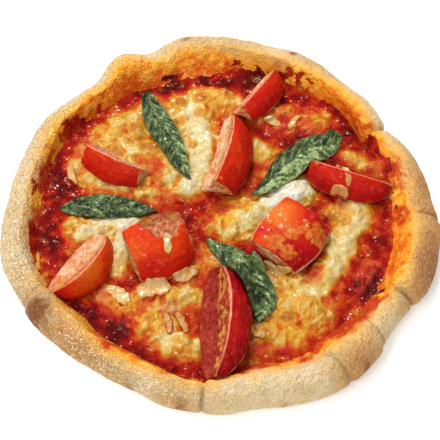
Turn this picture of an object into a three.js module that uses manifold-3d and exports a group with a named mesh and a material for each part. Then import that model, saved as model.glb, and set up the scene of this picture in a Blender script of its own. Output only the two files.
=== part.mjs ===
// A whole baked pizza, 23 cm across: a hand-shaped bread base with a puffed, folded rim, a layer of
// tomato sauce in its well, sheets of melted cheese with half-melted shreds, eight tomato wedges and
// four basil leaves.
// Millimetres, +Z up. The origin is on the underside, at the centre of the well.
import * as THREE from "three";
import { mergeVertices } from "three/addons/utils/BufferGeometryUtils.js";
import Module from "manifold-3d";

const wasm = await Module();
wasm.setup();

// ---- Driving dimensions -------------------------------------------------------------------------

const GAP = 0.3; // clearance between neighbours
const BASE = 5.5; // bread under the sauce
const SAUCE = 1.5; // sauce on the floor of the well
const CREST_INSET = 11; // from the rim's outer edge to its crest
const REST = BASE + GAP + SAUCE + GAP; // height of what lies on the sauce
const UNDERCUT = 8; // from the rim's outer edge in to where the bread touches the table
const WAIST = 0.42; // height of the rim's widest line, as a share of its full height

// The hand-shaped rim, going round from +X: at each bearing, in degrees, how far out it reaches,
// where the foot of its inner slope is, and how high its crest stands.
const RIM = [
  { at: 0, out: 115, foot: 87, high: 19 },
  { at: 20, out: 112, foot: 86, high: 20 },
  { at: 31, out: 106.5, foot: 89, high: 17.5 },
  { at: 45, out: 108, foot: 94, high: 17.5 },
  { at: 62, out: 112, foot: 92, high: 18.5 },
  { at: 80, out: 114, foot: 95, high: 18.5 },
  { at: 99, out: 117.5, foot: 88, high: 20 },
  { at: 110, out: 112.3, foot: 87, high: 18 },
  { at: 119, out: 117, foot: 90, high: 20 },
  { at: 129, out: 110.8, foot: 92, high: 17.5 },
  { at: 148, out: 112.8, foot: 95, high: 18 },
  { at: 165, out: 113.2, foot: 95, high: 18 },
  { at: 180, out: 114.3, foot: 93, high: 19.5 },
  { at: 195, out: 117.5, foot: 94, high: 20.5 },
  { at: 207, out: 115.8, foot: 95, high: 20 },
  { at: 222, out: 111.5, foot: 90, high: 18.5 },
  { at: 240, out: 109.5, foot: 90, high: 18 },
  { at: 258, out: 112.8, foot: 91, high: 19 },
  { at: 268, out: 112.7, foot: 93, high: 18.5 },
  { at: 280, out: 112.4, foot: 85, high: 20 },
  { at: 295, out: 116.6, foot: 87, high: 20.5 },
  { at: 312, out: 114.6, foot: 85, high: 19.5 },
  { at: 325, out: 112.6, foot: 87, high: 18.5 },
  { at: 340, out: 114.5, foot: 90, high: 19.5 },
];

// Folds, where the dough was pinched over itself. Each is a groove across the rim, with the bread on its
// anticlockwise side standing a step higher. It leans by so many degrees from the foot to the outer edge.
const FOLDS = [
  { at: 30.5, lean: 3, deep: 2.4, wide: 2.2, step: 1.6 },
  { at: 303, lean: 6, deep: 1.3, wide: 1.6, step: 1.0 },
  { at: 318, lean: -4, deep: 1.2, wide: 1.6, step: -0.9 },
  { at: 331.5, lean: 2, deep: 2.2, wide: 1.8, step: 1.5 },
  { at: 358, lean: -2, deep: 1.8, wide: 1.7, step: -1.2 },
  { at: 265.5, lean: -1, deep: 1.6, wide: 1.3, step: 0.5 },
  { at: 208, lean: 4, deep: 1.5, wide: 2.6, step: 1.2 },
];
const STEP_FADE = 12; // distance along the rim from a fold to where its step is highest
const RIM_MIDDLE = 105; // radius at which distances along the rim are measured

// Melted cheese: every patch is ovals that have run together, each with its middle, its two diameters,
// the turn of the longer one in degrees, and how thick it lies.
const MELTS = {
  cheese_upper_left: [
    { x: -6.6, y: 72, long: 44, wide: 24, turn: 8, thick: 3.4 },
    { x: -30, y: 66, long: 42, wide: 28, turn: 15, thick: 3.6 },
    { x: -52, y: 53.5, long: 42, wide: 28, turn: 25, thick: 3.4 },
    { x: -11, y: 44, long: 46, wide: 30, turn: -80, thick: 4.4 },
    { x: -38, y: 34.5, long: 54, wide: 34, turn: -15, thick: 3.6 },
    { x: -70, y: 31.5, long: 34, wide: 26, turn: -80, thick: 3.2 },
    { x: -48, y: 15.5, long: 46, wide: 16, turn: -5, thick: 3 },
    { x: -18.5, y: 19.5, long: 26, wide: 20, turn: 20, thick: 3.4 },
  ],
  cheese_left: [
    { x: -56.5, y: -8, long: 52, wide: 18, turn: 3, thick: 3.6 },
    { x: -74, y: -8.5, long: 24, wide: 20, turn: 0, thick: 4 },
    { x: -55.5, y: -21, long: 37, wide: 19, turn: -82, thick: 3.4 },
    { x: -38, y: -13, long: 22, wide: 16, turn: 40, thick: 3.2 },
  ],
  cheese_centre: [
    { x: 39, y: 14, long: 28, wide: 24, turn: 20, thick: 5 },
    { x: 18.5, y: 3.6, long: 46, wide: 20, turn: 15, thick: 3.6 },
    { x: 8, y: -6.5, long: 36, wide: 20, turn: -8, thick: 4 },
    { x: 22.5, y: 39.5, long: 26, wide: 17, turn: -60, thick: 3.4 },
    { x: 30.5, y: 25.5, long: 22, wide: 17, turn: -50, thick: 3.4 },
  ],
  cheese_right: [
    { x: 69, y: 1.5, long: 28, wide: 23, turn: -30, thick: 4.2 },
    { x: 64.5, y: -15.5, long: 30, wide: 22, turn: 70, thick: 3.8 },
    { x: 56, y: -33.5, long: 44, wide: 21, turn: 62, thick: 3.8 },
    { x: 38.5, y: -40, long: 38, wide: 24, turn: -25, thick: 3.4 },
    { x: 36, y: -54, long: 48, wide: 27, turn: 8, thick: 3.6 },
    { x: 29, y: -69, long: 40, wide: 21, turn: 10, thick: 3 },
    { x: 50, y: -57, long: 26, wide: 18, turn: 40, thick: 3.2 },
  ],
  cheese_lower_left: [
    { x: -28, y: -48.5, long: 46, wide: 20, turn: -3, thick: 4 },
    { x: -49, y: -54.5, long: 40, wide: 20, turn: -35, thick: 3.2 },
    { x: -35.5, y: -65.5, long: 36, wide: 24, turn: -30, thick: 3.2 },
    { x: -20, y: -76.5, long: 32, wide: 20, turn: -10, thick: 4.2 },
    { x: -15.5, y: -34, long: 26, wide: 16, turn: 40, thick: 3.4 },
    { x: -1, y: -27.5, long: 24, wide: 13, turn: -50, thick: 3 },
  ],
  cheese_upper_right: [
    { x: 37, y: 63, long: 40, wide: 24, turn: -12, thick: 2.8 },
    { x: 51, y: 61, long: 28, wide: 22, turn: -30, thick: 3 },
  ],
  cheese_right_edge: [
    { x: 77, y: 34.5, long: 28, wide: 12, turn: -30, thick: 2.8 },
    { x: 70.5, y: 40, long: 14, wide: 10, turn: -20, thick: 3 },
  ],
  cheese_lower_right: [{ x: 76, y: -36, long: 24, wide: 11, turn: 60, thick: 2.6 }],
};

// Shreds of grated cheese that kept their shape, fused to the patch or the wedge that they lie on: the two
// ends, and the height of their middle line at each end.
const SHRED_WIDE = 5;
const SHREDS = {
  cheese_upper_left: [{ from: [-62, 21], to: [-50, 17], high: [10.8, 10.8] }],
  cheese_right: [
    { from: [58.5, 11.4], to: [70, 9], high: [10.6, 11.8] },
    { from: [52, -43], to: [64.5, -25], high: [11.6, 11.6] },
    { from: [39.5, -29.5], to: [50.5, -35.5], high: [10.6, 11.4] },
    { from: [21, -66], to: [15, -59], high: [10.8, 10.4] },
  ],
  cheese_lower_left: [
    { from: [-57.6, -42.5], to: [-47, -53.6], high: [10.4, 10.8] },
    { from: [-22.4, -57.6], to: [-17, -70], high: [10.6, 10.8] },
    { from: [-22.2, -36.6], to: [-11.4, -29.5], high: [11, 11] },
    { from: [-38.5, -44.8], to: [-28, -41], high: [11.2, 11] },
  ],
  cheese_upper_right: [
    { from: [18, 64.4], to: [30, 66.4], high: [10.4, 10.8] },
    { from: [38, 54.4], to: [44, 62.4], high: [10.4, 10.8] },
    { from: [47, 71], to: [54, 68], high: [10, 10] },
  ],
};
const DRAPED_SHREDS = {
  tomato_right: [{ from: [62, 24], to: [69, 11], high: [24.4, 18] }],
  tomato_lower_left: [{ from: [-28, -17], to: [-26.5, -31], high: [28.2, 22.8] }],
};

// Tomato wedges, cut lengthwise from a plum tomato: the middle of the core's edge, the bearing of the long
// axis, how far the skin's middle is turned up from level, how far the forward end is raised, the wedge's
// angle, the tomato's radius and length, the stretch that is left of it, and how far the
// core bulges out of the straight edge; where that is less than nothing, the core was cut away.
const WEDGES = {
  tomato_upper_left: {
    x: -53, y: 38, turn: -28, roll: 27, pitch: 0,
    angle: 54, radius: 19, whole: 50, from: -16, to: 17, core: 1,
  },
  tomato_centre: {
    x: -5, y: 34.5, turn: 75, roll: 25, pitch: 0,
    angle: 56, radius: 21, whole: 60, from: -19, to: 28, core: 1,
  },
  tomato_top: {
    x: 16, y: 78.5, turn: 54, roll: 30, pitch: 0,
    angle: 54, radius: 17, whole: 42, from: -15, to: 17, core: 1,
  },
  tomato_right: {
    x: 70, y: 27, turn: -20, roll: 31, pitch: 0,
    angle: 58, radius: 18, whole: 52, from: -20, to: 23, core: 1,
  },
  tomato_middle: {
    x: 33.5, y: -13.5, turn: 54, roll: 74, pitch: 0,
    angle: 88, radius: 25, whole: 58, from: -16, to: 16, core: -11,
  },
  tomato_left: {
    x: -76, y: -29, turn: 54, roll: 15, pitch: 0,
    angle: 56, radius: 18, whole: 43, from: -21, to: 20, core: 5,
  },
  tomato_lower_left: {
    x: -34.5, y: -16.5, turn: 24, roll: 58, pitch: 0,
    angle: 98, radius: 23.5, whole: 50, from: -15, to: 16, core: -6,
  },
  tomato_bottom: {
    x: -5, y: -66, turn: 89, roll: 24, pitch: -9,
    angle: 58, radius: 20, whole: 68, from: -33, to: 33, core: 9,
  },
};
const WEDGE_FLATTEN = 0.88; // a baked wedge sags to this share of its fresh height

// Basil leaves: their two long edges, seen from above, from one tip to the other, and how much they arch.
const LEAVES = {
  basil_top: {
    one: [[-43.3, 68.9], [-41.4, 59.6], [-38, 50.4], [-31.3, 39.4], [-24.1, 27.8], [-15.4, 20.2]],
    other: [[-34.6, 73.6], [-29, 63.6], [-23.9, 55], [-19.4, 42.6], [-17.2, 31.6], [-15.4, 20.2]],
    arch: 2.5,
  },
  basil_left: {
    other: [[-84.6, 5.2], [-76.9, 10.2], [-66.3, 12], [-55.7, 11.4], [-43.4, 8.9], [-32.7, 2.7]],
    one: [[-84.4, 2.7], [-76.4, -0.4], [-65.8, -2.2], [-54.2, -2.2], [-43.2, -1], [-32.7, 2.7]],
    arch: 2.5,
  },
  basil_right: {
    other: [[15.9, 10.2], [22.9, 20.8], [29, 33.6], [38.9, 43.9], [50.5, 51.1], [60.7, 49.8], [66.5, 44.5]],
    one: [[15.9, 10.2], [26, 12.7], [35.1, 17], [43.8, 24.6], [52.1, 32.3], [60.8, 38.1], [66.5, 44.5]],
    arch: 3,
  },
  basil_lower_right: {
    other: [[-7.8, -13.8], [8.3, -19.9], [16.6, -27], [24.2, -37.7], [28.6, -47.4], [27.8, -58], [19.7, -65]],
    one: [[-7.8, -14.4], [-4.2, -22.9], [2.8, -33.2], [9.2, -43.6], [12.8, -50.5], [15.2, -58], [19.7, -65]],
    arch: 2.5,
  },
};
const LEAF_THICK = 0.9;
const LEAF_RESTS = 0.5; // how far a leaf stays above what it lies on

// ---- Small helpers ------------------------------------------------------------------------------

const { sin, cos, exp, min, max, abs, sqrt, E, PI } = Math;
const rad = THREE.MathUtils.degToRad;
const lerp = THREE.MathUtils.lerp;
const halfTurn = (angle) => ((((angle + 180) % 360) + 360) % 360) - 180; // to between -180 and 180

// A value of the RIM table at any bearing, by a cubic curve through the neighbouring rows.
function aroundRim(key, bearing) {
  const n = RIM.length;
  const b = ((bearing % 360) + 360) % 360;
  let i = RIM.findLastIndex((row) => row.at <= b);
  const row = (k) => ({
    at: RIM[(k + n) % n].at + 360 * Math.floor(k / n),
    value: RIM[(k + n) % n][key],
  });
  const [p0, p1, p2, p3] = [row(i - 1), row(i), row(i + 1), row(i + 2)];
  const span = p2.at - p1.at;
  const t = (b - p1.at) / span;
  const m1 = (span * (p2.value - p0.value)) / (p2.at - p0.at);
  const m2 = (span * (p3.value - p1.value)) / (p3.at - p1.at);
  return (
    (2 * t ** 3 - 3 * t ** 2 + 1) * p1.value +
    (t ** 3 - 2 * t ** 2 + t) * m1 +
    (3 * t ** 2 - 2 * t ** 3) * p2.value +
    (t ** 3 - t ** 2) * m2
  );
}

// An indexed geometry from vertices and triangles, with flat faces.
function geometryOf(vertices, triangles) {
  const geometry = new THREE.BufferGeometry();
  geometry.setAttribute("position", new THREE.Float32BufferAttribute(vertices.flat(), 3));
  geometry.setIndex(triangles.flat());
  return geometry;
}

// A manifold solid from a closed geometry, whose seams are merged first.
function solidOf(geometry) {
  const bare = new THREE.BufferGeometry();
  bare.setAttribute("position", geometry.getAttribute("position").clone());
  bare.setIndex(geometry.index);
  const merged = mergeVertices(bare, 1e-4);
  return new wasm.Manifold(
    new wasm.Mesh({
      numProp: 3,
      vertProperties: merged.attributes.position.array,
      triVerts: new Uint32Array(merged.index.array),
    }),
  );
}

// The geometry of a solid's largest piece: a cut can leave loose scraps, which are dropped.
function geometryOfSolid(solid) {
  const pieces = solid.decompose().sort((a, b) => b.volume() - a.volume());
  const { vertProperties, triVerts } = pieces[0].getMesh();
  const geometry = new THREE.BufferGeometry();
  geometry.setAttribute("position", new THREE.BufferAttribute(vertProperties, 3));
  geometry.setIndex(new THREE.BufferAttribute(triVerts, 1));
  return geometry;
}

// A closed skin over rings of equal length. Ring k and ring k + 1 are joined by a band, and each end is
// closed by a fan to its own point. The rings run anticlockwise seen from the last end. The diagonals of
// the first bands can be mirrored, so that the skin fits one that runs the other way.
function skinOver(rings, firstPoint, lastPoint, mirrored = 0) {
  const n = rings[0].length;
  const vertices = [...rings.flat(), firstPoint, lastPoint];
  const first = vertices.length - 2;
  const last = vertices.length - 1;
  const top = (rings.length - 1) * n;
  const triangles = [];
  for (let i = 0; i < n; i++) {
    const j = (i + 1) % n;
    triangles.push([first, j, i], [last, top + i, top + j]);
    for (let k = 0; k + 1 < rings.length; k++) {
      const [a, b, c, d] = [k * n + i, k * n + j, (k + 1) * n + i, (k + 1) * n + j];
      if (k < mirrored) {
        triangles.push([a, b, c], [b, d, c]);
      } else {
        triangles.push([a, b, d], [a, d, c]);
      }
    }
  }
  return geometryOf(vertices, triangles);
}

// ---- The bread ----------------------------------------------------------------------------------

// How far the surface is lifted at a bearing, at a place across the rim from 0 at the foot to 1 at the
// outer underside: the folds' grooves and steps, and the slow unevenness of hand-shaped dough.
function rimRelief(bearing, across) {
  const onRim = sin(PI * min(max(across, 0), 1)) ** 0.5;
  let lift = 0.5 * sin(rad(9 * bearing) + 5 * across) + 0.35 * sin(rad(17 * bearing) - 7 * across);
  for (const fold of FOLDS) {
    const along = RIM_MIDDLE * rad(halfTurn(bearing - fold.at - fold.lean * (across - 0.5)));
    const far = along / STEP_FADE;
    lift -= fold.deep * exp(-((along / fold.wide) ** 2));
    lift += fold.step * E * far * exp(-abs(far));
  }
  return lift * onRim;
}

// The rim's section at a bearing, from the underside round to the foot of the slope: points { r, z }.
// Relief moves each point along (nr, nz), which is roughly square to the surface there.
function rimSection(bearing) {
  const out = aroundRim("out", bearing);
  const foot = aroundRim("foot", bearing);
  const high = aroundRim("high", bearing);
  const crest = out - CREST_INSET;
  const waist = WAIST * high;
  const points = [{ r: out - UNDERCUT, z: 0, across: 1, nr: 0, nz: 0 }];
  for (const turn of [-55, -28, 0, 22, 45, 67, 90]) {
    const a = rad(turn);
    const inset = turn < 0 ? UNDERCUT : CREST_INSET;
    const drop = turn < 0 ? waist : high - waist;
    points.push({
      r: out - inset + inset * cos(a),
      z: waist + drop * sin(a),
      across: 0.72 - (0.28 * turn) / 90,
      nr: cos(a),
      nz: sin(a),
    });
  }
  for (const down of [0.2, 0.4, 0.6, 0.8, 1]) {
    const fall = (1 + cos(PI * down)) / 2;
    points.push({
      r: lerp(crest, foot, down),
      z: BASE + (high - BASE) * fall,
      across: 0.44 * (1 - down),
      nr: -0.6 * sin(PI * down),
      nz: 1,
    });
  }
  return points.map(({ r, z, across, nr, nz }) => {
    const lift = rimRelief(bearing, across);
    return { r: r + lift * nr, z: max(z + lift * nz, 0) };
  });
}

// Bearings of the bread's sections: evenly spaced, with more at each fold.
const BEARINGS = (() => {
  const even = Array.from({ length: 90 }, (_, i) => 4 * i);
  const folds = FOLDS.flatMap(({ at }) => [at - 2.2, at - 0.9, at + 0.3, at + 1.6]);
  const clear = even.filter((b) => folds.every((f) => abs(halfTurn(b - f)) > 1.2));
  return [...clear, ...folds].map((b) => (b + 360) % 360).sort((p, q) => p - q);
})();
const COARSE_BEARINGS = Array.from({ length: 60 }, (_, i) => 6 * i);
const FOOT_ROW = rimSection(0).length - 1;

// A ring of points along one row of the bread's sections.
function ringAt(row, bearings, lift) {
  return bearings.map((bearing) => {
    const { r, z } = rimSection(bearing)[row];
    return [r * cos(rad(bearing)), r * sin(rad(bearing)), z + lift];
  });
}

function breadGeometry() {
  const rings = rimSection(0).map((_, row) => ringAt(row, BEARINGS, 0));
  return skinOver(rings, [0, 0, 0], [0, 0, BASE]);
}

// ---- The sauce ----------------------------------------------------------------------------------

// The rows of the slope that the sauce covers, and how thick it is on each.
const SAUCE_ROWS = [
  { row: FOOT_ROW - 2, thick: 0.5 },
  { row: FOOT_ROW - 1, thick: 1.1 },
  { row: FOOT_ROW, thick: SAUCE },
];

// The sauce's upper surface, as rings from the slope in to the level floor.
function sauceTop(bearings, clearance) {
  return SAUCE_ROWS.map(({ row, thick }) => ringAt(row, bearings, GAP + thick + clearance));
}

function sauceGeometry() {
  const under = SAUCE_ROWS.map(({ row }) => ringAt(row, BEARINGS, GAP)).reverse();
  const over = sauceTop(BEARINGS, 0);
  return skinOver([...under, ...over], [0, 0, BASE + GAP], [0, 0, BASE + GAP + SAUCE], under.length - 1);
}

// Everything that the toppings may not enter: the sauce, the bread's slope up to the crest, and all below.
function carrierSolid() {
  const crest = FOOT_ROW - 5;
  const deep = ringAt(crest, COARSE_BEARINGS, 0).map(([x, y]) => [x, y, -5]);
  const slope = [crest, crest + 1, crest + 2].map((row) => ringAt(row, COARSE_BEARINGS, 2.5 * GAP));
  const rings = [deep, ...slope, ...sauceTop(COARSE_BEARINGS, GAP)];
  return solidOf(skinOver(rings, [0, 0, -5], [0, 0, REST]));
}

// ---- Cheese -------------------------------------------------------------------------------------

const MELT_SIDES = 14;
const MELT_PROFILE = [
  [0, -0.5],
  [0.95, -0.5],
  [1, 0.12],
  [0.88, 0.62],
  [0.52, 0.94],
  [0, 1.04],
].map(([r, z]) => new THREE.Vector2(r, z));

// One run-together oval of a patch.
function meltSolid({ x, y, long, wide, turn, thick }) {
  const shape = new THREE.LatheGeometry(MELT_PROFILE, MELT_SIDES).rotateX(PI / 2);
  shape.scale(long / 2, wide / 2, thick).rotateZ(rad(turn)).translate(x, y, REST);
  return solidOf(shape);
}

// A shred between two points, round-ended and a little flat.
function shredSolid({ from, to, high }) {
  const start = new THREE.Vector3(...from, high[0]);
  const end = new THREE.Vector3(...to, high[1]);
  const along = end.clone().sub(start);
  const r = SHRED_WIDE / 2;
  const shape = new THREE.CapsuleGeometry(r, max(along.length() - 2 * r, 1), 2, 7).scale(1, 1, 0.8);
  const turned = new THREE.Quaternion().setFromUnitVectors(new THREE.Vector3(0, 1, 0), along.normalize());
  return solidOf(shape.applyQuaternion(turned).translate(...start.add(end).multiplyScalar(0.5)));
}

const unionOf = (solids) => solids.reduce((all, solid) => all.add(solid));

// ---- Tomato wedges ------------------------------------------------------------------------------

const WEDGE_STATIONS = 9;
const SKIN_STEPS = 6;

// A wedge as a loft along its long axis. Each section is a blunt core edge and an arc of skin. The grown
// wedge, whose faces are moved out, cuts the room that a wedge needs in the cheese.
function wedgeGeometry(wedge, grow) {
  const { x, y, turn, roll, pitch, angle, radius, whole, from, to, core } = wedge;
  const half = whole / 2;
  const spread = rad(angle) / 2;
  const sections = [];
  for (let i = 0; i <= WEDGE_STATIONS; i++) {
    const along = lerp(from - grow, to + grow, i / WEDGE_STATIONS);
    const t = min(abs(along) / (half + grow + 0.3), 1);
    const r = radius * sqrt(1 - t * t) + 0.8 + grow;
    const back = core * sqrt(1 - t * t) + 0.5;
    const behind = back + grow / sin(spread);
    const blunt = max(-back, 0) * sin(spread) + 0.4 + grow;
    const section = [
      [-behind, -blunt],
      [-behind, blunt],
    ];
    for (let k = 0; k <= SKIN_STEPS; k++) {
      const a = spread * (1 - (2 * k) / SKIN_STEPS);
      const side = grow * (1 - (2 * k) / SKIN_STEPS);
      section.push([r * cos(a), r * sin(a) + side]);
    }
    sections.push(section.map(([d, w]) => [along, -d, w]));
  }
  const centre = (ring) => ring.reduce((s, p) => s.map((v, k) => v + p[k] / ring.length), [0, 0, 0]);
  const shape = skinOver(sections, centre(sections[0]), centre(sections.at(-1)));
  shape.rotateX(-rad(roll)).rotateY(-rad(pitch)).scale(1, 1, WEDGE_FLATTEN).rotateZ(rad(turn));
  return shape.translate(x, y, 0);
}

// Lays a wedge down on the sauce. Its grown copy goes to the same place.
function wedgeSolids(wedge) {
  const shape = wedgeGeometry(wedge, 0);
  shape.computeBoundingBox();
  const lift = REST - shape.boundingBox.min.z;
  return {
    own: solidOf(shape.translate(0, 0, lift)),
    grown: solidOf(wedgeGeometry(wedge, GAP).translate(0, 0, lift)),
  };
}

// ---- Basil --------------------------------------------------------------------------------------

const LEAF_STEPS = 12;
const LEAF_ACROSS = 4;
const LEAF_FEELERS = [-2, 0, 2]; // where, round each point of a leaf, the ground is felt

// Height of the topmost surface under a point.
function heightFinder(meshes) {
  const caster = new THREE.Raycaster();
  const down = new THREE.Vector3(0, 0, -1);
  return (x, y) => {
    caster.set(new THREE.Vector3(x, y, 200), down);
    return caster.intersectObjects(meshes)[0]?.point.z ?? 0;
  };
}

// A leaf that lies over the toppings: it follows them, but bridges hollows, and arches between its edges.
function leafGeometry({ one, other, arch }, groundAt) {
  const curveOf = (points) => new THREE.CatmullRomCurve3(points.map(([x, y]) => new THREE.Vector3(x, y, 0)));
  const edges = [curveOf(one), curveOf(other)];
  const grid = Array.from({ length: LEAF_STEPS + 1 }, (_, i) => {
    const t = 0.015 + (0.97 * i) / LEAF_STEPS;
    const [a, b] = edges.map((edge) => edge.getPoint(t));
    return Array.from({ length: LEAF_ACROSS + 1 }, (_, j) => {
      const s = j / LEAF_ACROSS;
      const p = a.clone().lerp(b, s);
      const felt = LEAF_FEELERS.flatMap((dx) => LEAF_FEELERS.map((dy) => groundAt(p.x + dx, p.y + dy)));
      const wave = 0.4 * (1 + sin(11 * t + 4 * s));
      return [p.x, p.y, max(...felt) + LEAF_RESTS + wave + arch * 4 * s * (1 - s) * sin(PI * t) ** 0.5];
    });
  });
  smoothHeights(grid);
  return sheetGeometry(grid, LEAF_THICK);
}

// Evens out a sheet's heights without letting it sink: each pass lifts a point to its neighbours' mean.
function smoothHeights(grid) {
  for (let pass = 0; pass < 3; pass++) {
    const old = grid.map((row) => row.map((p) => p[2]));
    grid.forEach((row, i) =>
      row.forEach((p, j) => {
        const beside = [old[i - 1]?.[j], old[i + 1]?.[j], old[i][j - 1], old[i][j + 1]];
        const near = beside.filter(Number.isFinite);
        p[2] = max(old[i][j], near.reduce((m, z) => m + z) / near.length);
      }),
    );
  }
}

// A closed sheet of even thickness over a grid of points.
function sheetGeometry(grid, thick) {
  const rows = grid.length;
  const columns = grid[0].length;
  const top = grid.flat().map(([x, y, z]) => [x, y, z + thick]);
  const vertices = [...top, ...grid.flat()];
  const under = top.length;
  const id = (i, j) => i * columns + j;
  const triangles = [];
  for (let i = 0; i + 1 < rows; i++) {
    for (let j = 0; j + 1 < columns; j++) {
      const [a, b, c, d] = [id(i, j), id(i + 1, j), id(i + 1, j + 1), id(i, j + 1)];
      triangles.push([a, b, c], [a, c, d]);
      triangles.push([under + a, under + c, under + b], [under + a, under + d, under + c]);
    }
  }
  const edge = [
    ...Array.from({ length: rows - 1 }, (_, i) => id(i, 0)),
    ...Array.from({ length: columns - 1 }, (_, j) => id(rows - 1, j)),
    ...Array.from({ length: rows - 1 }, (_, i) => id(rows - 1 - i, columns - 1)),
    ...Array.from({ length: columns - 1 }, (_, j) => id(0, columns - 1 - j)),
  ];
  edge.forEach((a, k) => {
    const b = edge[(k + 1) % edge.length];
    triangles.push([a, under + a, under + b], [a, under + b, b]);
  });
  return geometryOf(vertices, triangles);
}

// ---- The whole pizza ----------------------------------------------------------------------------

const MATERIALS = {
  bread: new THREE.MeshStandardMaterial({ color: 0xdcb784, roughness: 0.85, metalness: 0 }),
  sauce: new THREE.MeshStandardMaterial({ color: 0x8e1a12, roughness: 0.3, metalness: 0 }),
  cheese: new THREE.MeshStandardMaterial({ color: 0xe6c284, roughness: 0.4, metalness: 0 }),
  tomato: new THREE.MeshStandardMaterial({ color: 0xcc2f1c, roughness: 0.25, metalness: 0 }),
  basil: new THREE.MeshStandardMaterial({ color: 0x4f6b35, roughness: 0.6, metalness: 0 }),
};

function meshOf(name, geometry, material) {
  const mesh = new THREE.Mesh(geometry, MATERIALS[material]);
  mesh.name = name;
  return mesh;
}

const pizza = new THREE.Group();
const crust = meshOf("crust", breadGeometry(), "bread");
const sauce = meshOf("tomato_sauce", sauceGeometry(), "sauce");
pizza.add(crust, sauce);

const carrier = carrierSolid();
const taken = [];
for (const [name, wedge] of Object.entries(WEDGES)) {
  const { own, grown } = wedgeSolids(wedge);
  const draped = (DRAPED_SHREDS[name] ?? []).map(shredSolid);
  const laid = taken.reduce((solid, other) => solid.subtract(other), unionOf([own, ...draped]));
  taken.push(grown, ...draped);
  pizza.add(meshOf(name, geometryOfSolid(laid.subtract(carrier)), "tomato"));
}
const room = unionOf(taken);

const patches = Object.entries(MELTS).map(([name, ovals]) => {
  const parts = [...ovals.map(meltSolid), ...(SHREDS[name] ?? []).map(shredSolid)];
  return meshOf(name, geometryOfSolid(unionOf(parts).subtract(carrier).subtract(room)), "cheese");
});
pizza.add(...patches);

const groundAt = heightFinder([crust, sauce, ...patches]);
for (const [name, leaf] of Object.entries(LEAVES)) {
  const draped = solidOf(leafGeometry(leaf, groundAt)).subtract(room);
  pizza.add(meshOf(name, geometryOfSolid(draped), "basil"));
}

export default pizza;
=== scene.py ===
# %% [markdown]
# # A baked pizza on a pale table
#
# The real thing is bread dough pressed out by hand, spread with tomato sauce, and baked under grated
# cheese, tomato wedges and basil leaves. Nearly all of its look is in its surfaces: floury toasted bread,
# glossy sauce, cheese that has run and blistered. So every piece here is a surface worked out with numpy
# on a fine grid, and its colours are worked out in a material from numbers stored at the grid's points.
#
# Lengths are in millimetres until a mesh is made, because that is how a cook or a maker would measure it.

# %% Load the packed model
import itertools
from collections import namedtuple

import bpy
import numpy as np
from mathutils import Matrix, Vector


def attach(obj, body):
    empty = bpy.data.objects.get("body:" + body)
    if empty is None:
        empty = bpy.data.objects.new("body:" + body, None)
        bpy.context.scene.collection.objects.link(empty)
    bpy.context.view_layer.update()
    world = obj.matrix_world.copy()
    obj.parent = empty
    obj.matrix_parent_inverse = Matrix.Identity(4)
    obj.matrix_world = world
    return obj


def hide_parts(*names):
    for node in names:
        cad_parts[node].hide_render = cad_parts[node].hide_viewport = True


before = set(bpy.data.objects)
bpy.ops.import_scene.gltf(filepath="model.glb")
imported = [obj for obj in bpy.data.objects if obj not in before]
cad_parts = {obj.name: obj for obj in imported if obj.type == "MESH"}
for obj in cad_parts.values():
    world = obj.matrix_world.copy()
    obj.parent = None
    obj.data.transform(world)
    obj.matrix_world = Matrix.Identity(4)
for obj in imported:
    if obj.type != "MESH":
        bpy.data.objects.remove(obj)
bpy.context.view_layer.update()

# %% [markdown]
# ## The camera
#
# The picture is taken from the front edge of the table, well above it, with a long lens, so the round
# pizza shows as an oval that is nearly as high as it is wide. A long lens far away flattens the
# perspective. The camera is therefore placed by an angle above the table and a distance from the pizza.

# %% Place the camera
LOOK_AT = Vector((0, -0.0023, 0.008))
DISTANCE = 0.85
ELEVATION = np.radians(59)

camera_data = bpy.data.cameras.new("camera")
camera_data.lens = 131.53
camera_data.sensor_width = 36
camera = bpy.data.objects.new("camera", camera_data)
towards_camera = Vector((0, -np.cos(ELEVATION), np.sin(ELEVATION)))
camera.location = LOOK_AT + DISTANCE * towards_camera
camera.rotation_euler = towards_camera.to_track_quat("Z", "Y").to_euler()
bpy.context.collection.objects.link(camera)
bpy.context.scene.camera = camera
print("camera at", [round(v, 3) for v in camera.location])

# %% [markdown]
# ## Smooth steps and noise
#
# Food has few straight edges and no even surfaces. Two tools give most of that: a soft step, which fades
# one thing into another, and noise, a random surface that is smooth at its own scale. Blender has both in
# its materials, but here they also shape the meshes, so they are written out in numpy.

# %% Define the soft steps and the noise
def mix(a, b, t):
    """The value that lies t of the way from a to b."""
    return a + (b - a) * t


def smoothstep(low, high, x):
    """0 below low, 1 above high, and the S-shaped 3t² - 2t³ between them."""
    t = np.clip((x - low) / (high - low), 0, 1)
    return t * t * (3 - 2 * t)


def soft_max(a, b, width):
    """The larger of a and b, with the corner between them rounded off where they differ by less than
    width."""
    t = np.clip(0.5 + 0.5 * (a - b) / width, 0, 1)
    return mix(b, a, t) + 0.5 * width * t * (1 - t)


SLOPE_COUNT = 1024
SLOPES = np.random.default_rng(3).normal(size=(3, SLOPE_COUNT)).astype(np.float32)
SLOPES /= np.linalg.norm(SLOPES, axis=0)
STRIDES = (73856093, 19349663, 83492791)  # large primes, which scatter neighbouring cubes
SCRAMBLE = 1274126177  # a large odd number, which spreads a key's bits


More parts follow.
